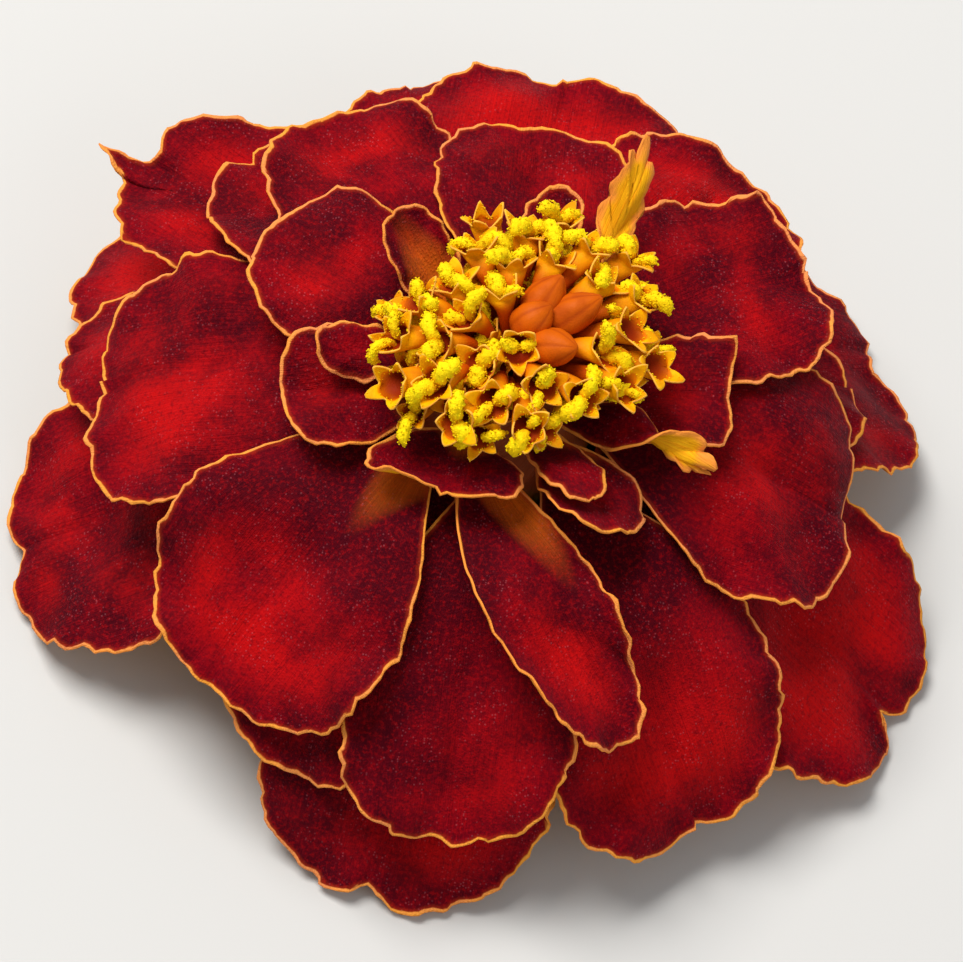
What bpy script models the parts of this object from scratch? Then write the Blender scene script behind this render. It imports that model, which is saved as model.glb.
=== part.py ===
"""Marigold flower head: a picked, double, velvet-petalled bloom with its cut stub of stem.

One unit is one metre, +Z is up and the bloom looks up.  The head rests on its cut stub and
on the tips of its lowest rays.  Every ray is one leaf-shaped sheet, laid on the rays under it.
"""
import math
import random
from dataclasses import dataclass

import bmesh
import bpy
import numpy as np

MM = 0.001

# ---- driving dimensions, millimetres ----
STEM_RADIUS = 1.7            # cut stub
NECK_RADIUS = 2.3            # swollen neck under the cup
CUP_BOTTOM = 3.6             # where the green cup starts on the neck
CUP_RIM = 12.5               # height of the cup's rim between its teeth
CUP_RADIUS = 6.4             # outside of the cup at the rim
CUP_WALL = 0.7
TOOTH = 0.6                  # how far the cup's teeth stand above the rim
RIBS = 8
DOME_TOP = 16.5              # top of the receptacle the florets grow from
RAY_THICK = 0.32             # blade thickness
RAY_GAP = 0.32               # air kept between two blades that lie on each other
CLAW = 0.75                  # half width of a ray where it leaves the receptacle
DISC_RADIUS = 8.2            # spread of the florets' mouths
DISC_BASE = (2.45, 16.85)    # radius and height of the pad the florets grow from
DISC_TOP = 22.6              # mouths in the middle
DISC_EDGE = 21.0             # mouths at the edge
DISC_SHIFT = (0.2, 0.8)      # the mouths lean a little towards the back
FLORETS = 38
BUD_CENTRE = (2.1, 1.4)      # the florets round here are still closed
BUD_SPREAD = 2.7
# no floret opens within this radius of x, y: small rays stand in these gaps
GAPS = ((-7.0, 5.2, 3.0), (1.0, -7.4, 1.9), (5.4, -6.0, 1.8))
ROWS = 10                    # rows along a ray
COLS = 2                     # columns on each side of its midrib

# ring number: radius and height where the ray leaves the receptacle
RINGS = {1: (5.7, 13.6), 2: (5.2, 14.3), 3: (4.5, 15.0), 4: (3.8, 15.8), 5: (3.1, 16.7)}


@dataclass(frozen=True)
class Ray:
    """One ray petal, in millimetres and degrees.  Angles run anticlockwise seen from above."""

    name: str
    ring: int
    root: float                     # azimuth where it leaves the receptacle
    tip: tuple                      # azimuth, radius, height of the end of its midrib
    half: float                     # greatest half width
    rise: float = 6.0               # slope at the root
    fall: float = -35.0             # slope at the tip
    belly: float = 0.62             # where it is widest, 0 root to 1 tip
    square: float = 2.4             # 2 round end, 4 square end
    bend: float = 0.0               # cross curl, 1/mm, + turns the edges up
    roll: float = 0.0               # extra curl near both edges, degrees
    twist: float = 0.0              # turn about the midrib at the tip, degrees
    start: float = 0.38             # where along it the turn begins
    lean: float = 0.0               # + makes the anticlockwise side wider
    notches: tuple = ()             # (angle round the end, depth, spread)
    folds: tuple = ()               # (place across -1..1, depth mm, spread)
    wave: float = 0.25              # ruffle at the edge, mm
    laid: bool = True               # lies on what is under it
    seed: int = 1


RAYS = (
    # lowest ring: the bloom rests on the ends of these
    Ray("ray_front_low", 1, -95, (-95.5, 24.8, 0.2), 8.3, notches=((-4, 0.12, 6),), seed=1),
    Ray("ray_left_low", 1, -166, (-166, 27.2, 0.3), 9.0, notches=((4, 0.14, 6),), seed=2),
    Ray("ray_left_back_low", 1, 148, (148.5, 28.6, 0.6), 7.8, seed=4),
    Ray("ray_left_small", 1, 170, (171, 25.4, 2.6), 5.4, seed=3),
    Ray("ray_right_low", 1, 37, (39, 27.0, 0.8), 9.8, square=2.8,
        notches=((-12, 0.14, 6),), seed=8),
    Ray("ray_right_front_low", 1, -14, (-17.5, 27.2, 0.45), 8.4, notches=((-3, 0.22, 6),), seed=9),
    Ray("ray_back_right_small", 1, 68, (72, 26.2, 7.4), 4.5, fall=-20, seed=7),
    Ray("ray_back_small", 1, 113, (109, 27.0, 7.4), 5.5, fall=-20, seed=5),
    Ray("ray_back_low", 1, 90.5, (89, 26.4, 9.8), 8.4, fall=-15,
        notches=((3, 0.14, 6), (-28, 0.07, 14)), seed=6),
    # second ring
    Ray("ray_front_left_small", 2, -116, (-114, 21.8, 3.6), 6.2, seed=10),
    Ray("ray_right_small", 2, 26, (27, 22.1, 4.5), 5.8, seed=13),
    Ray("ray_front_right", 2, -50, (-52, 24.0, 2.6), 7.4, square=2.8, wave=0.4,
        notches=((2, 0.07, 8), (-28, -0.05, 8)), seed=14),
    Ray("ray_front", 2, -90, (-87.5, 22.9, 3.2), 6.5, square=3.0, seed=15,
        notches=((-30, 0.04, 5), (-8, 0.05, 5), (16, 0.05, 5)), wave=0.35),
    Ray("ray_back_right", 2, 58, (59.5, 23.6, 9.2), 7.0, fall=-12, wave=0.35, seed=12),
    Ray("ray_back_left_horned", 2, 140, (144, 28.0, 9.8), 6.3, fall=-8, square=2.6,
        notches=((12, -0.30, 5), (-3, 0.10, 5), (-40, 0.06, 14)), folds=((0.25, 0.7, 0.3),), seed=11),
    # third ring
    Ray("ray_right", 3, -2, (-3, 20.4, 8.6), 7.6, square=3.0, wave=0.4, seed=19),
    Ray("ray_left", 3, 177, (180.5, 22.8, 7.6), 7.6, square=3.0, lean=0.12, wave=0.4, seed=17),
    Ray("ray_front_left", 3, -135, (-129, 21.8, 5.8), 7.7, belly=0.69, lean=0.05, wave=0.4, seed=16),
    Ray("ray_upper_left", 3, 138, (137, 22.8, 11.2), 6.0, fall=-12,
        notches=((6, 0.12, 6),), seed=18),
    # fourth ring
    Ray("ray_back_left_inner", 4, 122, (128, 21.2, 13.6), 6.0, fall=-12, wave=0.4, seed=20),
    Ray("ray_back_inner", 4, 88, (91, 18.2, 14.4), 5.7, fall=-5, rise=10, square=3.2,
        notches=((14, 0.09, 7),), wave=0.4, seed=21),
    Ray("ray_right_inner", 4, 40, (39, 20.4, 13.6), 6.4, fall=-20, notches=((40, -0.14, 8),),
        wave=0.4, seed=22),
    Ray("ray_left_inner", 4, 156, (154, 15.8, 16.0), 5.0, fall=-8, rise=8,
        notches=((-22, 0.08, 9),), seed=23),
    Ray("ray_front_rolled", 4, -96, (-61.2, 20.3, 9.2), 3.9, bend=0.06, roll=60, square=2.1,
        belly=0.55, lean=-0.25, seed=24),
    Ray("ray_boat", 4, 193, (194, 12.4, 16.4), 3.7, lean=0.12, rise=0, fall=5, belly=0.7,
        square=3.0, bend=0.10, seed=25),
    Ray("ray_fold_right", 4, 5, (7, 12.7, 16.8), 3.6, rise=0, fall=5, belly=0.7, square=3.2,
        bend=0.06, notches=((40, -0.24, 10), (0, 0.08, 10)), seed=26),
    Ray("ray_crescent", 4, -122, (-106, 8.9, 18.2), 4.4, rise=10, fall=35, belly=0.7,
        square=3.0, bend=0.04, seed=27),
    Ray("ray_fold_front", 4, -45, (-49, 11.2, 17.0), 3.0, rise=-5, fall=5, belly=0.7,
        square=3.0, bend=0.08, twist=-40, seed=28),
    # smallest rays, against the disc
    Ray("ray_upright", 5, 45, (68.0, 14.9, 22.6), 1.15, rise=-5, fall=55, twist=-150, start=0.16,
        notches=((30, 0.2, 8), (-20, 0.2, 8)), seed=32),
    Ray("ray_cup", 5, 138, (137, 10.3, 20.8), 2.2, rise=-5, fall=60, belly=0.7,
        square=2.8, bend=0.5, seed=30),
    Ray("ray_tiny_left", 5, 183, (186, 10.8, 17.8), 1.5, rise=-5, fall=25, bend=0.1, seed=29),
    Ray("ray_tiny_back", 5, 96, (82, 12.2, 18.6), 1.8, rise=-5, fall=40, bend=0.1, seed=31),
    Ray("ray_curled_right", 5, -20, (-18, 12.9, 17.0), 1.6, rise=0, fall=-5, twist=-120,
        notches=((-35, 0.25, 8), (5, 0.3, 8), (40, 0.25, 8)), seed=33),
    Ray("ray_tiny_front", 5, -56, (-53, 9.6, 17.0), 1.7, rise=0, fall=-10, seed=34),
)


# ---------------------------------------------------------------- the shape of one ray
def outline(ray, length, count):
    """Flat edge of a ray: two rows of (along, across) points, anticlockwise side first."""
    rnd = random.Random(ray.seed)
    phase = [rnd.uniform(0, math.tau) for _ in range(4)]
    sides = []
    for side in (1.0, -1.0):
        half = ray.half * (1.0 + side * ray.lean)
        u0 = ray.belly * length
        t = np.linspace(0.0, 1.0, 120)
        low_u = u0 * t
        low_v = CLAW + (half - CLAW) * np.sin(0.5 * math.pi * t) ** 1.15
        phi = np.radians(np.linspace(90.0, 0.0, 240))
        n = ray.square
        size = (np.abs(np.cos(phi)) ** n + np.abs(np.sin(phi)) ** n) ** (-1.0 / n)
        angle = np.degrees(phi) * side
        fade = np.clip((90.0 - np.abs(angle)) / 25.0, 0.0, 1.0)
        for centre, depth, spread in ray.notches:
            size = size * (1.0 - depth * fade * np.exp(-np.abs((angle - centre) / spread) ** 1.4))
        a = np.radians(angle)
        ripple = 0.012 * np.sin(5 * a + phase[0]) + 0.010 * np.sin(11 * a + phase[1])
        size = size * (1.0 + ripple * fade)
        end_u = u0 + (length - u0) * size * np.cos(phi)
        end_v = half * size * np.sin(phi)
        u = np.concatenate([low_u[:-1], end_u])
        v = np.concatenate([low_v[:-1], end_v])
        arc = np.concatenate([[0.0], np.cumsum(np.hypot(np.diff(u), np.diff(v)))])
        pick = np.linspace(0.0, arc[-1], count + 1)
        sides.append((np.interp(pick, arc, u), side * np.interp(pick, arc, v)))
    return sides


def midline(ray, samples=80):
    """Midrib of a ray in space: points, directions and run of length, millimetres."""
    r0, z0 = RINGS[ray.ring]
    a0, a1 = math.radians(ray.root), math.radians(ray.tip[0])
    p0 = np.array([r0 * math.cos(a0), r0 * math.sin(a0), z0])
    p3 = np.array([ray.tip[1] * math.cos(a1), ray.tip[1] * math.sin(a1), ray.tip[2]])
    reach = np.linalg.norm(p3 - p0)
    up, down = math.radians(ray.rise), math.radians(ray.fall)
    flat = p3[:2] - p0[:2]
    ahead = flat / np.linalg.norm(flat)
    d0 = np.array([math.cos(a0) * math.cos(up), math.sin(a0) * math.cos(up), math.sin(up)])
    d1 = np.array([ahead[0] * math.cos(down), ahead[1] * math.cos(down), math.sin(down)])
    p1, p2 = p0 + d0 * 0.24 * reach, p3 - d1 * 0.36 * reach
    t = np.linspace(0.0, 1.0, samples)[:, None]
    points = ((1 - t) ** 3 * p0 + 3 * (1 - t) ** 2 * t * p1
              + 3 * (1 - t) * t ** 2 * p2 + t ** 3 * p3)
    run = np.concatenate([[0.0], np.cumsum(np.linalg.norm(np.diff(points, axis=0), axis=1))])
    ahead = np.gradient(points, run, axis=0)
    ahead /= np.linalg.norm(ahead, axis=1)[:, None]
    return points, ahead, run


def curl(ray, u, v, share, length):
    """Cross section of a ray: sideways and upward offset of a point v from the midrib."""
    grow = np.clip(u / length, 0.0, 1.0)
    steps = np.linspace(0.0, 1.0, 14)[None, :]
    across = np.abs(v)[:, None] * steps
    part = share[:, None] * steps
    theta = ray.bend * across * (0.4 + 0.6 * grow[:, None])
    theta = theta + math.radians(ray.roll) * np.clip((part - 0.35) / 0.65, 0, 1) ** 1.5
    weight = np.full(steps.shape, 1.0 / (steps.shape[1] - 1))
    weight[0, 0] = weight[0, -1] = 0.5 * weight[0, 1]
    side = v * (np.cos(theta) * weight).sum(axis=1)
    lift = np.abs(v) * (np.sin(theta) * weight).sum(axis=1)
    return side, lift


def sheet(ray, rows, cols):
    """Middle surface of a ray as a grid of points, rows x (2 cols + 1) x 3, millimetres."""
    points, ahead, run = midline(ray)
    length = run[-1]
    left, right = outline(ray, length, rows)
    rnd = random.Random(ray.seed * 7 + 3)
    phase = [rnd.uniform(0, math.tau) for _ in range(3)]
    mid_u = np.linspace(0.0, 0.80 * length, rows + 1)
    share = np.linspace(-1.0, 1.0, 2 * cols + 1)
    u = np.zeros((rows + 1, 2 * cols + 1))
    v = np.zeros_like(u)
    for j, s in enumerate(share):
        edge = right if s < 0 else left
        k = abs(s)
        u[:, j] = mid_u * (1 - k) + edge[0] * k
        v[:, j] = edge[1] * k
    across = np.broadcast_to(np.abs(share)[None, :], u.shape)
    side, lift = curl(ray, u.ravel(), v.ravel(), across.ravel(), length)
    side, lift = side.reshape(u.shape), lift.reshape(u.shape)
    grow = np.clip(u / length, 0.0, 1.2)
    ease = np.clip((grow - 0.15) / 0.45, 0, 1) ** 1.5
    ruffle = across ** 2 * ease
    lift = lift + ray.wave * ruffle * (np.sin(u * 0.55 + np.sign(v) * phase[0] + phase[1])
                                       + 0.6 * np.sin(u * 1.1 + v * 0.5 + phase[2]))
    for place, depth, spread in ray.folds:
        lift = lift - depth * ease * np.exp(-((v / ray.half - place) / spread) ** 2)
    out = np.zeros(u.shape + (3,))
    base = np.stack([np.interp(u, run, points[:, k]) for k in range(3)], -1)
    over = np.clip(u - length, 0.0, None)[..., None]
    t = np.stack([np.interp(u, run, ahead[:, k]) for k in range(3)], -1)
    t /= np.linalg.norm(t, axis=-1, keepdims=True)
    b = np.cross(np.array([0.0, 0.0, 1.0]), t)
    b /= np.linalg.norm(b, axis=-1, keepdims=True)
    n = np.cross(t, b)
    turn = np.radians(ray.twist) * np.clip((grow - ray.start) / 0.45, 0, 1)[..., None]
    b, n = b * np.cos(turn) + n * np.sin(turn), n * np.cos(turn) - b * np.sin(turn)
    out = base + t * over + b * side[..., None] + n * lift[..., None]
    return out


# ---------------------------------------------------------------- laying rays on each other
class Heap:
    """Height of everything laid so far, on a fine square grid."""

    CELL = 0.25
    HALF = 36.0

    def __init__(self):
        n = int(2 * self.HALF / self.CELL)
        self.top = np.full((n, n), -99.0)

    def cells(self, p):
        """Grid indices under points."""
        n = self.top.shape[0]
        i = np.clip(((p[..., 0] + self.HALF) / self.CELL).astype(int), 0, n - 1)
        j = np.clip(((p[..., 1] + self.HALF) / self.CELL).astype(int), 0, n - 1)
        return i, j

    @staticmethod
    def fill(grid, fine):
        """Points spread over every cell of a grid: cell rows x cell cols x fine*fine x 3."""
        s, t = np.meshgrid(np.linspace(0, 1, fine), np.linspace(0, 1, fine))
        s, t = s.ravel()[:, None], t.ravel()[:, None]
        a, b = grid[:-1, :-1, None], grid[1:, :-1, None]
        c, d = grid[:-1, 1:, None], grid[1:, 1:, None]
        return a * (1 - s) * (1 - t) + b * s * (1 - t) + c * (1 - s) * t + d * s * t

    def add(self, grid):
        """Lay a finished sheet on the heap."""
        fine = 12 if grid.shape[0] < 30 else 5
        p = self.fill(grid, fine)
        for di in (-1, 0, 1):
            for dj in (-1, 0, 1):
                q = p + np.array([di, dj, 0.0]) * self.CELL
                i, j = self.cells(q)
                np.maximum.at(self.top, (i.ravel(), j.ravel()), p[..., 2].ravel())

    def lift(self, grid, clear):
        """How far each point of a sheet must rise to clear the heap."""
        fine = 8 if grid.shape[0] < 30 else 3
        p = self.fill(grid, fine)
        i, j = self.cells(p)
        need = (self.top[i, j] - p[..., 2]).max(axis=2) + clear
        out = np.full(grid.shape[:2], 0.0)
        out[:-1, :-1] = np.maximum(out[:-1, :-1], need)
        out[1:, :-1] = np.maximum(out[1:, :-1], need)
        out[:-1, 1:] = np.maximum(out[:-1, 1:], need)
        out[1:, 1:] = np.maximum(out[1:, 1:], need)
        return out


def level(grid):
    """How level each cell of a sheet is: 1 flat, less on a slope."""
    normal = np.cross(grid[1:, 1:] - grid[:-1, :-1], grid[:-1, 1:] - grid[1:, :-1])
    size = np.linalg.norm(normal, axis=-1) + 1e-9
    return np.clip(np.abs(normal[..., 2]) / size, 0.7, 1.0)


def ease_up(need, sag, rounds):
    """Smooth rise never under the needed one; it sags back away from what holds it up."""
    rise = need.copy()
    for _ in range(rounds):
        pad = np.pad(rise, 1, mode="edge")
        pad[-1] = pad[-3, ::-1]
        mean = 0.25 * (pad[:-2, 1:-1] + pad[2:, 1:-1] + pad[1:-1, :-2] + pad[1:-1, 2:])
        rise = np.maximum(need, mean * (1.0 - sag))
        rise[-1] = np.maximum(rise[-1], rise[-1, ::-1])
        rise[0] = 0.0
    return rise


def lay(rows, cols):
    """All rays in laying order, each raised clear of the ones under it."""
    heap = Heap()
    sheets = {}
    for ray in RAYS:
        grid = sheet(ray, rows, cols)
        if ray.laid:
            need = heap.lift(grid, (RAY_THICK + RAY_GAP) / level(grid))
            need[0] = 0.0
            rise = ease_up(need, 4.0 / rows ** 2, 5 * rows)
            grid = grid + rise[..., None] * np.array([0.0, 0.0, 1.0])
        heap.add(grid)
        sheets[ray.name] = grid
    return sheets


# ---------------------------------------------------------------- building
def material(name, colour, rough):
    """Plain finish for one kind of sub-part."""
    mat = bpy.data.materials.new(name)
    mat.use_nodes = True
    shader = mat.node_tree.nodes["Principled BSDF"]
    shader.inputs["Base Color"].default_value = (*colour, 1.0)
    shader.inputs["Roughness"].default_value = rough
    mat.diffuse_color = (*colour, 1.0)
    return mat


def add_object(name, verts, faces, mat):
    """One closed body from points in millimetres, faces turned outwards."""
    bm = bmesh.new()
    made = [bm.verts.new([c * MM for c in v]) for v in verts]
    for face in faces:
        bm.faces.new([made[i] for i in face])
    bmesh.ops.recalc_face_normals(bm, faces=bm.faces)
    bmesh.ops.triangulate(bm, faces=bm.faces)
    mesh = bpy.data.meshes.new(name)
    bm.to_mesh(mesh)
    bm.free()
    mesh.materials.append(mat)
    obj = bpy.data.objects.new(name, mesh)
    bpy.context.scene.collection.objects.link(obj)
    return obj


def ray_solid(grid, thick):
    """Closed blade from the middle surface; its two halves share the line at the tip."""
    rows, wide = grid.shape[0], grid.shape[1]
    index = {}
    points = []
    for i in range(rows):
        for j in range(wide):
            twin = (i, wide - 1 - j)
            if i == rows - 1 and twin in index:
                index[i, j] = index[twin]
                continue
            index[i, j] = len(points)
            points.append(grid[i, j])
    points = np.array(points)
    cells = [(index[i, j], index[i + 1, j], index[i + 1, j + 1], index[i, j + 1])
             for i in range(rows - 1) for j in range(wide - 1)]
    normal = np.zeros_like(points)
    for cell in cells:
        a, b, c, d = (points[k] for k in cell)
        face = np.cross(c - a, b - d)
        for k in cell:
            normal[k] += face
    normal /= np.linalg.norm(normal, axis=1)[:, None]
    count = len(points)
    verts = np.concatenate([points + normal * thick / 2, points - normal * thick / 2])
    rim = [index[i, 0] for i in range(rows)] + [index[i, wide - 1] for i in range(rows - 2, -1, -1)]
    rim += [index[0, j] for j in range(wide - 2, 0, -1)]
    faces = [cell[::-1] for cell in cells] + [[k + count for k in cell] for cell in cells]
    faces += [(a, b, b + count, a + count) for a, b in zip(rim, rim[1:] + rim[:1])]
    return verts, faces


def lathe(profile, around, ripple=None):
    """Closed body of revolution from (radius, height) pairs that start and end on the axis."""
    verts, faces = [], []
    rings = []
    for r, z in profile:
        if r < 1e-6:
            rings.append([len(verts)] * around)
            verts.append((0.0, 0.0, z))
            continue
        ring = []
        for k in range(around):
            a = math.tau * k / around
            rr, zz = (r, z) if ripple is None else ripple(r, z, a)
            ring.append(len(verts))
            verts.append((rr * math.cos(a), rr * math.sin(a), zz))
        rings.append(ring)
    for low, high in zip(rings, rings[1:]):
        for k in range(around):
            loop = [low[k], low[(k + 1) % around], high[(k + 1) % around], high[k]]
            face = list(dict.fromkeys(loop))
            if len(face) > 2:
                faces.append(face)
    return verts, faces


def build_stem(mat):
    """Cut stub, swollen neck and the receptacle dome, grown as one piece."""
    profile = [(0, 0), (STEM_RADIUS * 0.92, 0), (STEM_RADIUS, 0.15), (STEM_RADIUS, 1.8),
               (NECK_RADIUS, 3.4), (2.5, 4.4), (3.4, 6.2), (4.4, 8.6), (5.1, 11.8), (5.2, 13.2),
               (4.8, 13.9), (4.2, 14.6), (3.5, 15.4), (2.7, 16.2), (0, DOME_TOP)]
    return add_object("stem", *lathe(profile, 16), mat)


def build_cup(mat):
    """Fused green bracts round the neck, ribbed outside and toothed at the rim."""
    def ribbed(r, z, a):
        """Raise the ribs and draw the rim up into teeth."""
        rib = math.cos(RIBS * a)
        low = min(1.0, max(0.0, (z - CUP_BOTTOM) / 2.5))
        top = min(1.0, max(0.0, (z - 10.8) / (CUP_RIM - 10.8)))
        out = 0.16 * rib * low
        return r + max(0.0, out), z + TOOTH * top * max(0.0, rib)

    wall = CUP_WALL
    outer = [(2.75, CUP_BOTTOM), (3.5, 4.1), (4.6, 5.8), (5.6, 8.4), (6.2, 10.8),
             (CUP_RADIUS, CUP_RIM)]
    inner = [(CUP_RADIUS - wall * 0.8, CUP_RIM), (6.2 - wall, 10.8), (5.6 - wall, 8.6),
             (4.6 - wall, 6.4), (3.3, 4.9)]
    profile = outer + inner
    around = 3 * RIBS
    verts, faces = [], []
    for r, z in profile:
        for k in range(around):
            a = math.tau * k / around
            rr, zz = ribbed(r, z, a)
            verts.append((rr * math.cos(a), rr * math.sin(a), zz))
    n = len(profile)
    for p in range(n):
        for k in range(around):
            k1 = (k + 1) % around
            q = (p + 1) % n
            faces.append((p * around + k, p * around + k1, q * around + k1, q * around + k))
    return add_object("cup", verts, faces, mat)


def floret_places():
    """Where every floret of the disc opens: x, y, height and whether it is still closed."""
    places = []
    for k in range(FLORETS):
        share = math.sqrt((k + 0.5) / FLORETS)
        r = DISC_RADIUS * share
        a = k * math.radians(137.508)
        x = r * math.cos(a) + DISC_SHIFT[0]
        y = r * math.sin(a) + DISC_SHIFT[1]
        if any(math.hypot(x - gap[0], y - gap[1]) < gap[2] for gap in GAPS):
            continue
        z = DISC_TOP - (DISC_TOP - DISC_EDGE) * share ** 2.2
        closed = math.hypot(x - BUD_CENTRE[0], y - BUD_CENTRE[1]) < BUD_SPREAD
        places.append((x, y, z, closed))
    return places


def floret(x, y, z, closed, seed):
    """One floret as a five-sided tube leaning out from the pad, flared or closed at its end."""
    rnd = random.Random(seed)
    foot = np.array([0.23 * x, 0.23 * y, DISC_BASE[1] + 0.3])
    head = np.array([x, y, z + rnd.uniform(-0.2, 0.2)])
    bow = np.array([0.31 * x, 0.31 * y, head[2] + 0.5])
    if closed:
        shape = [(0.0, 0.22), (0.45, 0.45), (0.8, 1.00), (0.95, 0.75)]
    else:
        shape = [(0.0, 0.22), (0.5, 0.36), (0.85, 0.70), (1.0, 1.20)]
    verts = []
    turn = rnd.uniform(0, math.tau)
    for t, radius in shape:
        centre = (1 - t) ** 2 * foot + 2 * t * (1 - t) * bow + t * t * head
        ahead = 2 * (1 - t) * (bow - foot) + 2 * t * (head - bow)
        ahead = ahead / np.linalg.norm(ahead) + np.array([0, 0, 1.5 * t])
        ahead /= np.linalg.norm(ahead)
        side = np.cross(ahead, [0.31, 0.77, 0.11])
        side /= np.linalg.norm(side)
        other = np.cross(ahead, side)
        for k in range(5):
            a = turn + math.tau * k / 5
            verts.append(centre + radius * (math.cos(a) * side + math.sin(a) * other))
    verts.append(foot - [0, 0, 0.1])
    tip = len(verts)
    verts.append(head + (np.array([0, 0, 0.35]) if closed else np.array([0, 0, -0.45])))
    faces = [(k, (k + 1) % 5, tip - 1) for k in range(5)]
    for p in range(len(shape) - 1):
        faces += [(5 * p + k, 5 * p + (k + 1) % 5, 5 * p + 5 + (k + 1) % 5, 5 * p + 5 + k)
                  for k in range(5)]
    last = 5 * (len(shape) - 1)
    faces += [(last + k, last + (k + 1) % 5, tip) for k in range(5)]
    return verts, faces


def build_disc(mat):
    """All florets of the disc grown together on one pad."""
    radius, low = DISC_BASE
    pad = [(0, low), (radius, low), (radius, low + 0.5), (radius * 0.7, low + 1.3),
           (0, low + 1.7)]
    disc = add_object("disc", *lathe(pad, 15), mat)
    disc.scale = (1 / MM,) * 3
    disc.data.transform(disc.matrix_basis)
    for number, place in enumerate(floret_places()):
        tool = add_object("floret", *floret(*place, seed=number), mat)
        tool.data.transform(disc.matrix_basis)
        tool.scale = disc.scale
        tool.matrix_world = disc.matrix_world = tool.matrix_world.Identity(4)
        join = disc.modifiers.new("join", "BOOLEAN")
        join.operation, join.solver, join.object = "UNION", "MANIFOLD", tool
        tool.hide_render, tool.display_type = True, "WIRE"
        depsgraph = bpy.context.evaluated_depsgraph_get()
        merged = bpy.data.meshes.new_from_object(disc.evaluated_get(depsgraph))
        disc.modifiers.clear()
        disc.data = merged
        bpy.data.objects.remove(tool)
        disc.scale = (1 / MM,) * 3
    bm = bmesh.new()
    bm.from_mesh(disc.data)
    bmesh.ops.scale(bm, vec=(MM,) * 3, verts=bm.verts)
    bmesh.ops.triangulate(bm, faces=bm.faces)
    if bm.calc_volume(signed=True) < 0:
        bmesh.ops.reverse_faces(bm, faces=bm.faces)
    bm.to_mesh(disc.data)
    bm.free()
    disc.scale = (1, 1, 1)
    return disc


def settle():
    """Put the origin under the middle of the flower's box."""
    bpy.context.view_layer.update()
    solids = [o for o in bpy.data.objects if o.type == "MESH"]
    points = np.array([tuple(v.co) for o in solids for v in o.data.vertices])
    shift = -0.5 * (points.min(axis=0) + points.max(axis=0))
    for obj in solids:
        for vert in obj.data.vertices:
            vert.co.x += shift[0]
            vert.co.y += shift[1]
        obj.data.update()


def main():
    """Clear the scene and build the flower."""
    for obj in list(bpy.data.objects):
        bpy.data.objects.remove(obj)
    green = material("green_stem", (0.20, 0.33, 0.08), 0.6)
    bract = material("green_bract", (0.16, 0.30, 0.07), 0.6)
    velvet = material("petal_velvet", (0.33, 0.010, 0.012), 0.6)
    gold = material("disc_gold", (0.90, 0.45, 0.02), 0.6)
    build_stem(green)
    build_cup(bract)
    for name, grid in lay(ROWS, COLS).items():
        add_object(name, *ray_solid(grid, RAY_THICK), velvet)
    build_disc(gold)
    settle()


main()
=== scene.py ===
"""Marigold bloom: velvet rays in drooping tiers, a golden disc, a green cup and a cut stub.

Sizes are in millimetres in the flower's own frame (axis up through the origin) until a piece
becomes a mesh, when they are turned to metres and moved onto the stem's axis.
"""

import logging
import math
import random
from dataclasses import dataclass
from enum import Enum
from typing import Sequence

import bpy
import numpy as np
from mathutils import Matrix, Vector

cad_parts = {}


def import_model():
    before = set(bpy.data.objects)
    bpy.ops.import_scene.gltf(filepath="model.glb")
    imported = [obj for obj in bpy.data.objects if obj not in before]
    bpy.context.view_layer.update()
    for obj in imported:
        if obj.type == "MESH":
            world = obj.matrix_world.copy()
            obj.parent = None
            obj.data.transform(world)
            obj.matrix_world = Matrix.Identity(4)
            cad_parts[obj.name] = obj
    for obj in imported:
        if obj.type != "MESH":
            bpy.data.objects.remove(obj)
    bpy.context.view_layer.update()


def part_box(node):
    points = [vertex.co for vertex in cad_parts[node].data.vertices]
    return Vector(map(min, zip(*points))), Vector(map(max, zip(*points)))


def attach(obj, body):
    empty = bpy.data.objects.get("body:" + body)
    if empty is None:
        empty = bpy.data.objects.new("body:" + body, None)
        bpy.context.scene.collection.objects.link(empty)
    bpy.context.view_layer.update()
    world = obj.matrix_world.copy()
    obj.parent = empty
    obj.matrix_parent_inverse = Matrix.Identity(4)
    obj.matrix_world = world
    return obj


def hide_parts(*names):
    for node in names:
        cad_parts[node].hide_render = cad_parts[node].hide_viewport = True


MM = 0.001
LOG = logging.getLogger("marigold")
Colour = tuple[float, float, float]
UP = np.array([0.0, 0.0, 1.0])


class Side(Enum):
    """Material slot of a ray's faces."""

    UPPER = 0
    UNDER = 1


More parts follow.
